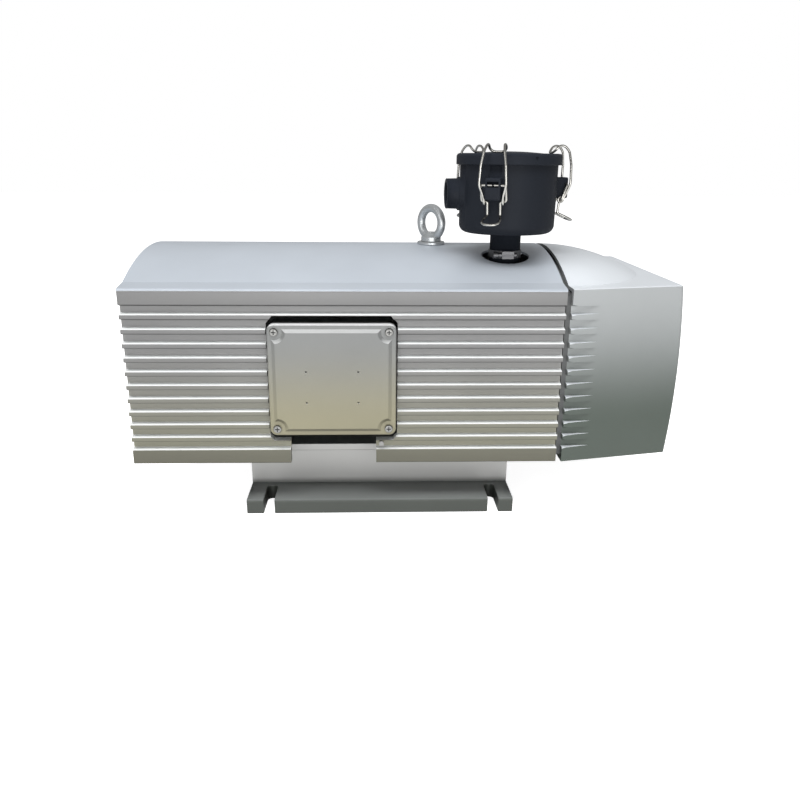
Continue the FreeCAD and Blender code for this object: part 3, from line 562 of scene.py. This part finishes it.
class GeoTree:
    """A geometry node tree with named inputs, run once on one object."""

    def __init__(self, name: str, inputs: dict[str, float]) -> None:
        """Start the tree.

        Args:
            name: Tree name.
            inputs: Named sizes and their values.
        """
        self.group = bpy.data.node_groups.new(name, "GeometryNodeTree")
        face = self.group.interface
        face.new_socket("Geometry", in_out="INPUT", socket_type="NodeSocketGeometry")
        face.new_socket("Geometry", in_out="OUTPUT", socket_type="NodeSocketGeometry")
        self.ids: dict[str, str] = {}
        self.values = inputs
        for key, value in inputs.items():
            kind = "NodeSocketInt" if isinstance(value, int) else "NodeSocketFloat"
            self.ids[key] = face.new_socket(key, in_out="INPUT", socket_type=kind).identifier
        self.source = self.group.nodes.new("NodeGroupInput")
        self.target = self.group.nodes.new("NodeGroupOutput")

    def node(self, kind: str, inputs: dict, **settings: object) -> bpy.types.Node:
        """Add a node with its inputs and settings."""
        return add_node(self.group, kind, inputs, **settings)

    def run(self, data: bpy.types.ID, last: bpy.types.NodeSocket, finish: Finish) -> bpy.types.Mesh:
        """End the tree, run it on one object and return the plain mesh.

        Args:
            data: Curve or mesh that the tree works on.
            last: The last geometry socket.
            finish: The finish that Set Material gives.

        Returns:
            The realised mesh.
        """
        real = self.node("GeometryNodeRealizeInstances", {"Geometry": last})
        paint = self.node("GeometryNodeSetMaterial", {"Geometry": real.outputs["Geometry"],
                                                      "Material": finish.material()})
        self.group.links.new(paint.outputs["Geometry"], self.target.inputs[0])
        holder = held("geo_holder", data)
        mod = holder.modifiers.new("nodes", "NODES")
        mod.node_group = self.group
        for key, value in self.values.items():
            mod[self.ids[key]] = value
        return evaluated(holder)

    def rounded(self) -> bpy.types.NodeSocket:
        """Return the given curve with its corners rounded, by the inputs Corner and Steps."""
        given = self.source.outputs
        ways = {"Curve": given["Geometry"], "Radius": given["Corner"], "Count": given["Steps"]}
        fillet = self.node("GeometryNodeFilletCurve", {**ways, "Limit Radius": True}, mode="POLY")
        return fillet.outputs["Curve"]


def pressed_profile(points: Sequence[tuple[float, float]], x0: float, x1: float, corner: float,
                    finish: Finish) -> bpy.types.Mesh:
    """Extrude a closed (y, z) profile with rounded corners along X.

    Args:
        points: Profile corners in millimetres.
        x0: Start of the length in millimetres.
        x1: End of the length in millimetres.
        corner: Corner radius in millimetres.
        finish: Finish of the result.

    Returns:
        The extruded mesh.
    """
    tree = GeoTree("pressed_profile", {"Length": (x1 - x0) * MM, "Corner": corner * MM, "Steps": 4})
    fill = tree.node("GeometryNodeFillCurve", {"Curve": tree.rounded()}, mode="NGONS")
    face = fill.outputs["Mesh"]
    length = tree.source.outputs["Length"]
    push = tree.node("GeometryNodeExtrudeMesh", {"Mesh": face, "Offset Scale": length, "Individual": False},
                     mode="FACES")
    flip = tree.node("GeometryNodeFlipFaces", {"Mesh": face})
    both = tree.node("GeometryNodeJoinGeometry", {"Geometry": [push.outputs["Mesh"], flip.outputs["Mesh"]]})
    weld = tree.node("GeometryNodeMergeByDistance", {"Geometry": both.outputs["Geometry"], "Distance": 1e-6})
    line = polyline([(y * MM, z * MM, 0.0) for y, z in points], cyclic=True)
    line.dimensions = "2D"
    mesh = tree.run(line, weld.outputs["Geometry"], finish)
    mesh.transform(Matrix(((0, 0, 1, x0 * MM), (1, 0, 0, 0), (0, 1, 0, 0), (0, 0, 0, 1))))
    bm = bmesh.new()
    bm.from_mesh(mesh)
    bmesh.ops.recalc_face_normals(bm, faces=bm.faces)
    bm.to_mesh(mesh)
    bm.free()
    return mesh


def bent_wire(points: Sequence[Point], radius: float, bend: float, finish: Finish) -> bpy.types.Mesh:
    """Sweep a round wire along a line with rounded bends.

    Args:
        points: Line points in metres.
        radius: Wire radius in millimetres.
        bend: Bend radius in millimetres.
        finish: Wire finish.

    Returns:
        The wire's mesh.
    """
    tree = GeoTree("bent_wire", {"Radius": radius * MM, "Corner": bend * MM, "Steps": 6, "Sides": 14})
    given = tree.source.outputs
    ring = tree.node("GeometryNodeCurvePrimitiveCircle", {"Radius": given["Radius"],
                                                          "Resolution": given["Sides"]})
    sweep = tree.node("GeometryNodeCurveToMesh", {"Curve": tree.rounded(), "Fill Caps": True,
                                                  "Profile Curve": ring.outputs["Curve"]})
    return shade(tree.run(polyline(points), sweep.outputs["Mesh"], finish), 60.0)


@dataclass
class Casing:
    """Ribbed walls, arched cover, hood, flange, grille and base."""

    half_width: float = 189.5
    left: float = -365.0
    right: float = 200.5
    arch_half: float = 162.2
    arch_foot: float = 312.4
    crown: float = 344.6
    top_edge: float = 309.0
    bottom: float = 74.4
    panel_depth: float = 13.0
    rib_depth: float = 8.0
    rib_face: float = 6.5
    rib_pitch: float = 18.85
    rib_crowding: float = 0.07
    rib_count: int = 10
    first_rib_drop: float = 33.2
    top_band: float = 21.7
    window: tuple[float, float, float, float] = (-183.5, -14.8, 106.9, 274.4)
    window_corners: tuple[float, float, float] = (9.0, 11.0, 6.0)
    notch: tuple[float, float] = (-156.5, -42.7)
    sheet: float = 3.0
    flank: float = 1.2
    lip: float = 0.2
    band_lip: float = 0.6
    fold: float = 1.5
    exhaust: Point = (144.0, 170.0, 195.0)
    exhaust_radius: float = 27.3
    port: Point = (137.5, -76.5, 0.0)
    port_radius: float = 33.0
    eye_hole: Point = (39.5, 0.0, 0.0)
    eye_hole_radius: float = 6.3
    cut_heights: tuple[float, float] = (295.0, 360.0)

    def rib_points(self, side: int) -> Outline:
        """Return the ribbed wall's (y, z) profile.

        Args:
            side: -1 at the front, 1 at the rear.

        Returns:
            The profile's corners.
        """
        out = self.half_width
        floor = out - self.rib_depth
        inner = out - self.panel_depth
        top = self.top_edge - self.sheet
        band = self.top_edge - self.top_band
        points = [(inner, top), (out, top), (out, band + self.band_lip), (floor, band - self.flank)]
        for k in range(self.rib_count + 1):
            z = self.top_edge - self.first_rib_drop - k * self.rib_pitch + self.rib_crowding * k * k
            points += [(floor, z + self.flank), (out, z - self.lip)]
            if k < self.rib_count:
                low = z - self.rib_face
                points += [(out, low + self.lip), (floor, low - self.flank)]
        points += [(out, self.bottom), (inner, self.bottom)]
        return [(side * y, z) for y, z in points]

    def build(self, shop: Workshop) -> None:
        """Build and dress the casing.

        Args:
            shop: The workshop that adds the pieces.
        """
        front = pressed_profile(self.rib_points(-1), self.left, self.right, self.fold, WALL_PAINT)
        front = carve(front, [self._window_tool(), self._notch_tool()])
        shop.piece("side_panel_front_ribbed", shade(front, 35.0), ["side_panel_front"])
        rear = pressed_profile(self.rib_points(1), self.left, self.right, self.fold, WALL_PAINT)
        hole = drill(self.exhaust_radius, -5, 30, self.exhaust, -FRONT)
        shop.piece("side_panel_rear_ribbed", shade(carve(rear, [hole]), 35.0), ["side_panel_rear"])
        cover = pressed_profile(self.cover_points(), self.left, self.right, 0.0, COVER_PAINT)
        port = drill(self.port_radius, *self.cut_heights, self.port)
        stem = drill(self.eye_hole_radius, *self.cut_heights, self.eye_hole, steps=32)
        shop.piece("top_cover_rolled", soften(carve(cover, [port, stem]), 0.0, 9.0), ["top_cover"])
        for node, width, angle in (("base_frame", 0.0011, 32.0), ("end_hood", 0.0009, 14.0),
                                   ("hood_flange", 0.0006, 32.0), ("end_grille", 0.0004, 32.0)):
            shop.piece(node + "_finished", soften(shop.node_copy(node), width, angle), [node])

    def cover_points(self) -> Outline:
        """Return the cover's (y, z) profile, a thin arched sheet with bevelled shoulders."""
        rise = self.crown - self.arch_foot
        outer = self._arc(self.arch_half, self.arch_foot, rise)
        inner = self._arc(self.arch_half, self.arch_foot - self.sheet, rise)
        edge = self.half_width
        low = self.top_edge - self.sheet
        foot = edge - self.panel_depth
        shoulder = [(edge - 2.4, low + 3.0), (edge - 0.7, low + 2.3), (edge, low + 0.6), (edge, low)]
        line = [(-y, z) for y, z in reversed(shoulder)] + outer + shoulder
        line += [(foot, low), (foot, low + 1.0)] + [(-y, z) for y, z in inner]
        return line + [(-foot, low + 1.0), (-foot, low)]

    @staticmethod
    def _arc(half: float, foot: float, rise: float, steps: int = 40) -> Outline:
        """Return points of a shallow arch from -half to half."""
        radius = (half * half + rise * rise) / (2 * rise)
        swing = math.asin(half / radius)
        points = []
        for k in range(steps + 1):
            t = -swing + 2 * swing * k / steps
            points.append((radius * math.sin(t), foot + rise - radius + radius * math.cos(t)))
        return points

    def _window_tool(self) -> bpy.types.Mesh:
        """Return the cutter of the terminal box window."""
        x0, x1, z0, z1 = self.window
        across, down, low = self.window_corners
        return self._plate([(x0, z1 - down), (x0 + across, z1), (x1 - across, z1), (x1, z1 - down),
                            (x1, z0 + low), (x1 - low, z0), (x0 + low, z0), (x0, z0 + low)])

    def _notch_tool(self) -> bpy.types.Mesh:
        """Return the cutter of the cable notch."""
        x0, x1 = self.notch
        z = self.window[2]
        return self._plate([(x0, self.bottom - 2), (x1, self.bottom - 2), (x1, z + 1), (x0, z + 1)])

    def _plate(self, outline: Sequence[tuple[float, float]]) -> bpy.types.Mesh:
        """Return a slab with an (x, z) outline through the front wall."""
        bm = bmesh.new()
        verts = [bm.verts.new((x * MM, -(self.half_width + 3) * MM, z * MM)) for x, z in outline]
        face = bm.faces.new(verts)
        grown = bmesh.ops.extrude_face_region(bm, geom=[face])
        moved = [v for v in grown["geom"] if isinstance(v, bmesh.types.BMVert)]
        bmesh.ops.translate(bm, verts=moved, vec=(0, 0.020, 0))
        bmesh.ops.recalc_face_normals(bm, faces=bm.faces)
        return written(bm, "plate")


@dataclass
class TerminalGroup:
    """Terminal box, lid and cable gland."""

    nodes: tuple[str, ...] = ("terminal_box", "cable_gland", "terminal_screws", "casing_screws")
    edge: float = 0.0006
    centre: tuple[float, float] = (-99.2, 190.0)
    size: tuple[float, float] = (165.0, 148.6)
    face: float = 195.0
    depth: float = 14.0
    proud: float = 3.0
    corner: float = 9.0
    rim: float = 2.0
    rivets: tuple[float, float] = (33.5, 20.7)
    rivet_drop: float = 7.4
    rivet_radius: float = 1.3
    screw_inset: float = 9.5
    screw_bore: float = 2.8
    screw_head: float = 3.4
    recess: float = 3.1
    recess_depths: tuple[float, float] = (0.25, 1.8)

    def build(self, shop: Workshop) -> None:
        """Build and dress the group.

        Args:
            shop: The workshop that adds the pieces.
        """
        self._lid(shop)
        for node in self.nodes:
            width = 0.0002 if "screw" in node else self.edge
            mesh = soften(shop.node_copy(node), width)
            shop.piece(node + "_finished", mesh, [node])
            if node == "terminal_screws":
                self._paint_recess_shade(mesh)

    def _outline(self, inset: float, notch: float, steps: int = 10) -> Outline:
        """Return a rectangle with a round notch about each corner screw.

        Args:
            inset: Distance inside the lid's edge.
            notch: Notch radius about the screw.
            steps: Steps of each notch.

        Returns:
            The (x, z) points.
        """
        points = []
        gap = self.screw_inset - inset
        lean = math.asin(gap / notch)
        for turn, (sx, sz) in enumerate(((1, 1), (-1, 1), (-1, -1), (1, -1))):
            x = self.centre[0] + sx * (self.size[0] / 2 - self.screw_inset)
            z = self.centre[1] + sz * (self.size[1] / 2 - self.screw_inset)
            start = math.radians(270 + 90 * turn) + lean
            sweep = -math.pi / 2 - 2 * lean
            for k in range(steps + 1):
                t = start + sweep * k / steps
                points.append((x + notch * math.cos(t), z + notch * math.sin(t)))
        return points

    def _paint_recess_shade(self, mesh: bpy.types.Mesh) -> None:
        """Paint shade into the screws' cross recesses with a dark finish.

        Args:
            mesh: The screws.
        """
        # Painted shade: the dark plastic finish stands for the shade inside each cross recess.
        mesh.materials.append(DARK_PLASTIC.material())
        to_x, to_z = (v / 2 - self.screw_inset for v in self.size)
        start, end = self.recess_depths
        for face in mesh.polygons:
            x, y, z = face.center / MM
            aside = max(abs(abs(x - self.centre[0]) - to_x), abs(abs(z - self.centre[1]) - to_z))
            if aside < self.recess and start < y + self.face + self.screw_head < end:
                face.material_index = len(mesh.materials) - 1

    def _plate(self) -> bpy.types.Mesh:
        """Return the lid's plate with round corners and a soft front edge."""
        half_x, half_z = (v / 2 for v in self.size)
        x, z = self.centre
        back = -self.face + self.depth
        bm = bmesh.new()
        bm.from_mesh(block((x - half_x, -self.face, z - half_z), (x + half_x, back, z + half_z)))
        upright = [e for e in bm.edges if abs(e.verts[0].co.y - e.verts[1].co.y) > 0.005]
        bmesh.ops.bevel(bm, geom=upright, offset=self.corner * MM, segments=8, profile=0.5, affect="EDGES")
        front = [e for e in bm.edges if all(abs(v.co.y + self.face * MM) < 1e-6 for v in e.verts)]
        bmesh.ops.bevel(bm, geom=front, offset=self.rim * MM, segments=4, profile=0.5, affect="EDGES")
        return written(bm, "lid_plate")

    def _panel(self) -> bpy.types.Mesh:
        """Return the lid's raised panel with sloped edges."""
        bm = bmesh.new()
        rows = []
        for inset, notch, level in ((6.0, 10.6, -0.8), (6.0, 10.6, 0.2), (10.2, 14.8, self.proud)):
            y = -(self.face + level) * MM
            rows.append([bm.verts.new((px * MM, y, pz * MM)) for px, pz in self._outline(inset, notch)])
        for low, high in zip(rows, rows[1:]):
            for k in range(len(low)):
                j = (k + 1) % len(low)
                bm.faces.new((low[k], low[j], high[j], high[k]))
        bm.faces.new(rows[0])
        bm.faces.new(rows[-1])
        bmesh.ops.recalc_face_normals(bm, faces=bm.faces)
        return written(bm, "raised_panel")

    def _lid(self, shop: Workshop) -> None:
        """Build the lid: plate, raised panel, four rivet holes and four screw holes."""
        x, z = self.centre
        out_x, out_z = (v / 2 - self.screw_inset for v in self.size)
        above = self.face + 5
        holes = []
        for sx in (-1, 1):
            for sz in (-1, 1):
                rivet = (x + sx * self.rivets[0], 0.0, z - self.rivet_drop + sz * self.rivets[1])
                screw = (x + sx * out_x, 0.0, z + sz * out_z)
                holes.append(drill(self.rivet_radius, self.face - 1.5, above, rivet, FRONT, 24))
                holes.append(drill(self.screw_bore, self.face - self.depth - 1, above, screw, FRONT, 24))
        lid = carve(carve(self._plate(), [self._panel()], "UNION"), holes)
        shop.piece("terminal_lid_pressed", soften(lid, 0.0005, 24.0), ["terminal_lid"])


@dataclass
class SuctionFilter:
    """Black canister with lid, port, lugs and three wire clips."""

    centre: tuple[float, float] = (136.5, -77.5)
    wall: float = 65.5
    lid_radius: float = 70.5
    lid_top: float = 472.5
    lid_low: float = 458.0
    dome_radius: float = 48.0
    dome_rise: float = 2.6
    lid_rim: float = 4.5
    dimple: float = 2.0
    dimple_place: Point = (24.0, 4.2, 6.0)
    bottom: float = 369.5
    bottom_round: float = 11.0
    clip_drop: float = 39.0
    wire: float = 1.6
    azimuths: tuple[float, float, float] = (-113.5, 6.5, 126.5)
    port_azimuth: float = 182.0
    port_height: float = 420.3
    port_reach: float = 84.5
    clip_eye: Point = (5.5, 12.35, -20.0)
    clip_eye_radius: float = 3.4

    def spot(self, azimuth: float, out: float, along: float, up: float) -> Point:
        """Return a clip's local point in metres.

        Args:
            azimuth: The clip's angle round the canister.
            out: Distance outside the canister wall.
            along: Distance along the wall.
            up: Height above the lever's pin.

        Returns:
            The point in metres.
        """
        a = math.radians(azimuth)
        r = self.wall + out
        x = self.centre[0] + r * math.cos(a) - along * math.sin(a)
        y = self.centre[1] + r * math.sin(a) + along * math.cos(a)
        return (x * MM, y * MM, (self.lid_top - self.clip_drop + up) * MM)

    def build(self, shop: Workshop) -> None:
        """Build and dress the filter.

        Args:
            shop: The workshop that adds the pieces.
        """
        self._lid(shop)
        self._canister(shop)
        for n, azimuth in enumerate(self.azimuths, 1):
            self._lever(shop, n, azimuth)
            self._bail(shop, n, azimuth)
        for node in ("lid_gasket", "filter_element", "hose_clamp", "suction_nipple", "suction_flange"):
            shop.piece(node + "_finished", soften(shop.node_copy(node), 0.0003), [node])

    def _lid(self, shop: Workshop) -> None:
        """Turn the lid: a shallow dome and a rounded rim with one dimple."""
        r, top, low, rim = self.lid_radius, self.lid_top, self.lid_low, self.lid_rim
        inner = self.wall + 0.3
        ball = (self.dome_radius ** 2 + self.dome_rise ** 2) / (2 * self.dome_rise)
        profile = [(0.0, top + self.dome_rise)]
        for k in range(1, 13):
            x = self.dome_radius * k / 12
            profile.append((x, top + self.dome_rise - ball + math.sqrt(ball * ball - x * x)))
        profile.append((r - rim, top))
        for k in range(1, 9):
            a = math.radians(90 - 11.25 * k)
            profile.append((r - rim + rim * math.cos(a), top - rim + rim * math.sin(a)))
        profile += [(r, low + 0.8), (r - 0.8, low), (inner, low), (inner, top - 4.0), (0, top - 4.0)]
        mesh = lathe(profile, (*self.centre, 0.0), steps=128)
        side, back, down = self.dimple_place
        place = (self.centre[0] + side, self.centre[1] - r + back, top - down)
        turns = [math.radians(t) for t in range(0, 181, 30)]
        ball_line = [(self.dimple * math.sin(t), -self.dimple * math.cos(t)) for t in turns]
        dimple = lathe(ball_line, place, steps=24)
        shop.piece("filter_lid_turned", shade(carve(mesh, [dimple]), 38.0), ["filter_lid"])

    def _canister(self, shop: Workshop) -> None:
        """Build the canister from turned forms and three lugs."""
        foot = (*self.centre, 0.0)
        bottom, top, r, bend = self.bottom, self.lid_top, self.wall, self.bottom_round
        outer = [(0, bottom)]
        for k in range(9):
            a = math.radians(-90 + 11.25 * k)
            outer.append((r - 0.8 - bend + bend * math.cos(a), bottom + bend + bend * math.sin(a)))
        outer += [(r, top - 8.0), (0, top - 8.0)]
        neck = [(0, 325.0), (20.2, 325.0), (21.0, 325.8), (21.0, bottom + 3), (0, bottom + 3)]
        a = math.radians(self.port_azimuth)
        heading = Vector((math.cos(a), math.sin(a), 0))
        base = (*self.centre, self.port_height)
        reach = self.port_reach
        port = [(0, 40.0), (22.0, 40.0), (22.0, 67.8), (21.4, 68.5), (20.4, 68.9), (20.0, 69.6),
                (19.6, reach - 1.4), (20.0, reach - 1.0), (19.2, reach), (0, reach)]
        adds = [lathe(neck, foot, steps=64), lathe(port, base, heading, 72)]
        adds += [self._lug(azimuth) for azimuth in self.azimuths]
        mesh = carve(lathe(outer, foot, steps=128), adds, "UNION")
        hollow = [(0, bottom + 3.5), (r - 12, bottom + 3.5), (r - 3.5, bottom + 12), (r - 3.5, top), (0, top)]
        bore = [(0, 20.0), (15.0, 20.0), (15.0, reach - 1.5), (16.2, reach + 0.2), (16.2, reach + 2),
                (0, reach + 2)]
        drain = drill(17.0, 320.0, bottom + 6, foot, steps=64)
        mesh = carve(mesh, [lathe(hollow, foot), lathe(bore, base, heading, 64), drain])
        shop.piece("filter_canister_moulded", shade(mesh, 38.0), ["filter_canister"])

    def _lug(self, azimuth: float) -> bpy.types.Mesh:
        """Return one clip lug with rounded edges, a pocket and a pin hole."""
        pin = self.lid_top - self.clip_drop
        r = self.wall
        lug = soften(block((r - 6, -10.3, pin - 18.5), (r + 16, 10.3, pin + 9.0)), 0.0022, 30.0, 4)
        pocket = block((r + 9.4, -7.6, pin - 2.6), (r + 20, 7.6, pin + 4.6))
        hole = drill(1.75, -20, 20, (r + 12.5, 0, pin), -FRONT, 20)
        lug = carve(lug, [pocket, hole])
        turn = Matrix.Rotation(math.radians(azimuth), 4, "Z")
        lug.transform(Matrix.Translation((self.centre[0] * MM, self.centre[1] * MM, 0)) @ turn)
        return lug

    def _mirrored(self, azimuth: float, half: list[Point]) -> list[Point]:
        """Return a clip wire's whole line in metres, from the half on one side."""
        return [self.spot(azimuth, *p) for p in half + [(u, -t, z) for u, t, z in reversed(half)]]

    def _lever(self, shop: Workshop, n: int, azimuth: float) -> None:
        """Bend one lever from wire."""
        half = [(12.5, 1.2, 0.0), (12.5, 16.2, 0.0), (5.5, 16.2, -20.0), (5.5, 8.5, -20.0), (3.4, 8.5, -38.0),
                (13.5, 11.5, -42.5), (21.0, 10.7, -45.9), (24.6, 7.0, -47.5), (25.5, 2.5, -47.9)]
        wire = bent_wire(self._mirrored(azimuth, half), self.wire, 2.6, BRIGHT_WIRE)
        shop.piece(f"clip_lever_{n}_wire", wire, [f"clip_lever_{n}"])

    def _bail(self, shop: Workshop, n: int, azimuth: float) -> None:
        """Bend one bail from wire, with an eye at each end."""
        half = [(8.9, 12.35, -20.0), (11.4, 12.85, -14.0), (16.2, 17.6, 0.0), (16.0, 16.0, 25.0),
                (13.5, 13.0, 42.0), (6.5, 11.0, 50.2), (-1.0, 11.0, 48.5),
                (-7.5, 11.0, self.clip_drop + self.wire)]
        parts = [bent_wire(self._mirrored(azimuth, half), self.wire, 18.0, BRIGHT_WIRE)]
        out, along, up = self.clip_eye
        r = self.clip_eye_radius
        turns = [math.radians(15 * k) for k in range(25)]
        for side in (1, -1):
            loop = [self.spot(azimuth, out + r * math.cos(t), side * along, up + r * math.sin(t))
                    for t in turns]
            parts.append(bent_wire(loop, self.wire, 0.5, BRIGHT_WIRE))
        shop.piece(f"clip_bail_{n}_wire", shade(merge(parts), 60.0), [f"clip_bail_{n}"])


@dataclass
class LiftingEye:
    """Cast eye bolt and its washer."""

    x: float = 39.5
    crown: float = 344.6
    ring_radius: float = 21.0
    ring_wire: float = 6.0
    ring_centre: float = 375.3
    turn: float = 50.0

    def build(self, shop: Workshop) -> None:
        """Build and dress the eye bolt.

        Args:
            shop: The workshop that adds the pieces.
        """
        a = math.radians(self.turn)
        ring = [(self.ring_radius + self.ring_wire * math.cos(t), self.ring_wire * math.sin(t))
                for t in (math.tau * k / 24 for k in range(24))]
        ring.append(ring[0])
        loop = lathe(ring, (self.x, 0, self.ring_centre), Vector((math.sin(a), math.cos(a), 0)), 72)
        c = self.crown
        z = c + 4.0
        stem = [(0, 318.0), (6.0, 318.0), (6.0, z), (13.7, z), (14.5, z + 0.8), (14.5, z + 6.4),
                (13.4, z + 7.5), (12.2, z + 7.8), (10.6, z + 9.4), (9.0, z + 11.2), (7.6, z + 13.6),
                (0, z + 13.6)]
        spot = (self.x, 0, 0)
        body = carve(loop, [lathe(stem, spot, steps=64)], "UNION")
        shop.piece("eye_bolt_forged", shade(body, 42.0), ["eye_bolt"])
        washer = [(6.0, c), (19.4, c), (20.0, c + 0.6), (20.0, c + 3.2), (19.2, c + 4.0), (6.0, c + 4.0),
                  (6.0, c)]
        shop.piece("eye_washer_turned", shade(lathe(washer, spot, steps=64)), ["eye_washer"])


@dataclass
class DriveTrain:
    """Motor, coupling, fans and pump: smooth copies of the frame's own solids."""

    bearing_middles: tuple[float, ...] = (-264.0, 14.0, 96.0, 201.0)
    ball_circle: float = 23.0
    ball_radius: float = 2.45
    ball_count: int = 7
    shaft_height: float = 205.0

    def build(self, shop: Workshop) -> None:
        """Add the bearing balls and shade every node that has no piece yet.

        Args:
            shop: The workshop that adds the pieces.
        """
        shop.piece("bearing_balls_round", self._balls(), ["bearing_balls"])
        for node in sorted(set(shop.nodes) - shop.done):
            shop.piece(node + "_smooth", shade(shop.node_copy(node), 30.0), [node])

    def _balls(self) -> bpy.types.Mesh:
        """Return all bearing balls as one mesh."""
        places = []
        for x in self.bearing_middles:
            for k in range(self.ball_count):
                a = math.tau * k / self.ball_count
                y = self.ball_circle * math.sin(a)
                places.append((x * MM, y * MM, (self.shaft_height + self.ball_circle * math.cos(a)) * MM))
        cloud = bpy.data.meshes.new("ball_places")
        cloud.from_pydata(places, [], [])
        tree = GeoTree("bearing_balls", {"Radius": self.ball_radius * MM, "Segments": 20, "Rings": 12})
        given = tree.source.outputs
        sizes = {key: given[key] for key in ("Radius", "Segments", "Rings")}
        ball = tree.node("GeometryNodeMeshUVSphere", sizes)
        spread = tree.node("GeometryNodeInstanceOnPoints", {"Points": given["Geometry"],
                                                            "Instance": ball.outputs["Mesh"]})
        return shade(tree.run(cloud, spread.outputs["Instances"], TURNED_STEEL), 60.0)


@dataclass(frozen=True)
class Studio:
    """White studio with a pale floor, soft lamps and the camera."""

    focal_px: float = 759.6
    image_px: float = 800.0
    pitch: float = 17.7
    yaw: float = 2.2
    roll: float = -0.5
    place: Point = (-0.0479, -1.1391, 0.4660)
    sensor: float = 36.0
    floor_half: float = 9.0
    floor_gap: float = 0.0004
    floor_glow: float = 0.9
    world_level: float = 0.32
    aim_height: float = 0.2

    def camera(self) -> None:
        """Add the camera at the photo's angle."""
        p, y, r = (math.radians(v) for v in (self.pitch, self.yaw, self.roll))
        ahead = Vector((math.sin(y) * math.cos(p), math.cos(y) * math.cos(p), -math.sin(p)))
        right = Vector((math.cos(y), -math.sin(y), 0))
        down = ahead.cross(right)
        image_x = right * math.cos(r) + down * math.sin(r)
        image_down = down * math.cos(r) - right * math.sin(r)
        data = bpy.data.cameras.new("studio_camera")
        data.sensor_width = self.sensor
        data.lens = self.focal_px / self.image_px * self.sensor
        data.clip_end = 50.0
        obj = held("studio_camera", data)
        turn = Matrix((image_x, -image_down, -ahead)).transposed().to_4x4()
        obj.matrix_world = Matrix.Translation(self.place) @ turn
        bpy.context.scene.camera = obj

    def floor(self) -> None:
        """Add the pale floor, white to the camera where nothing shades it."""
        bm = bmesh.new()
        bmesh.ops.create_grid(bm, x_segments=1, y_segments=1, size=self.floor_half)
        obj = held("studio_floor", written(bm, "studio_floor"))
        obj.location.z = -self.floor_gap
        mat = bpy.data.materials.new("studio_floor")
        mat.use_nodes = True
        tree = mat.node_tree
        shader = tree.nodes["Principled BSDF"]
        shader.inputs["Base Color"].default_value = (0.86, 0.86, 0.86, 1.0)
        shader.inputs["Roughness"].default_value = 0.9
        shader.inputs["Emission Color"].default_value = (1.0, 1.0, 1.0, 1.0)
        seen = add_node(tree, "ShaderNodeLightPath", {}).outputs["Is Camera Ray"]
        glow = add_node(tree, "ShaderNodeMath", {0: seen, 1: self.floor_glow}, operation="MULTIPLY")
        tree.links.new(glow.outputs[0], shader.inputs["Emission Strength"])
        obj.data.materials.append(mat)

    def world(self) -> None:
        """Add the white surroundings."""
        world = bpy.data.worlds.new("studio")
        bpy.context.scene.world = world
        world.use_nodes = True
        tree = world.node_tree
        sky = tree.nodes["Background"]
        sky.inputs["Color"].default_value = (1.0, 1.0, 1.0, 1.0)
        rays = add_node(tree, "ShaderNodeLightPath", {}).outputs
        most = add_node(tree, "ShaderNodeMath", {0: rays["Is Camera Ray"], 1: rays["Is Transmission Ray"]},
                        operation="MAXIMUM")
        level = add_node(tree, "ShaderNodeMapRange", {"Value": most.outputs[0], "To Min": self.world_level,
                                                      "To Max": 1.0})
        tree.links.new(level.outputs["Result"], sky.inputs["Strength"])

    def lamp(self, name: str, place: Point, size: tuple[float, float], power: float,
             shows: bool = True) -> None:
        """Add one soft lamp aimed at the pump's middle.

        Args:
            name: Lamp name.
            place: Its place in metres.
            size: Its width and height in metres.
            power: Its power in watts.
            shows: True where shiny surfaces mirror the lamp.
        """
        data = bpy.data.lights.new(name, "AREA")
        data.shape = "RECTANGLE"
        data.size, data.size_y = size
        data.energy = power
        obj = held(name, data)
        obj.visible_glossy = shows
        obj.location = place
        aim = Vector((0, 0, self.aim_height)) - Vector(place)
        obj.rotation_euler = aim.to_track_quat("-Z", "Y").to_euler()

    def build(self) -> None:
        """Set up camera, floor, surroundings and lamps."""
        bpy.context.scene.view_settings.view_transform = "Standard"
        self.camera()
        self.floor()
        self.world()
        self.lamp("overhead", (-0.1, -0.95, 2.4), (2.8, 0.9), 96.0, shows=False)
        self.lamp("front_left", (-1.6, -1.9, 1.3), (1.2, 1.2), 8.0)
        self.lamp("front_low", (0.1, -2.3, 0.35), (2.0, 0.6), 16.0)


def main() -> None:
    """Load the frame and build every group."""
    logging.basicConfig(level=logging.INFO, format="%(name)s %(message)s")
    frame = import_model()
    shop = Workshop(frame)
    shop.paint_nodes()
    Studio().build()
    for group in (Casing(), TerminalGroup(), SuctionFilter(), LiftingEye(), DriveTrain()):
        group.build(shop)


if __name__ == "__main__":
    main()
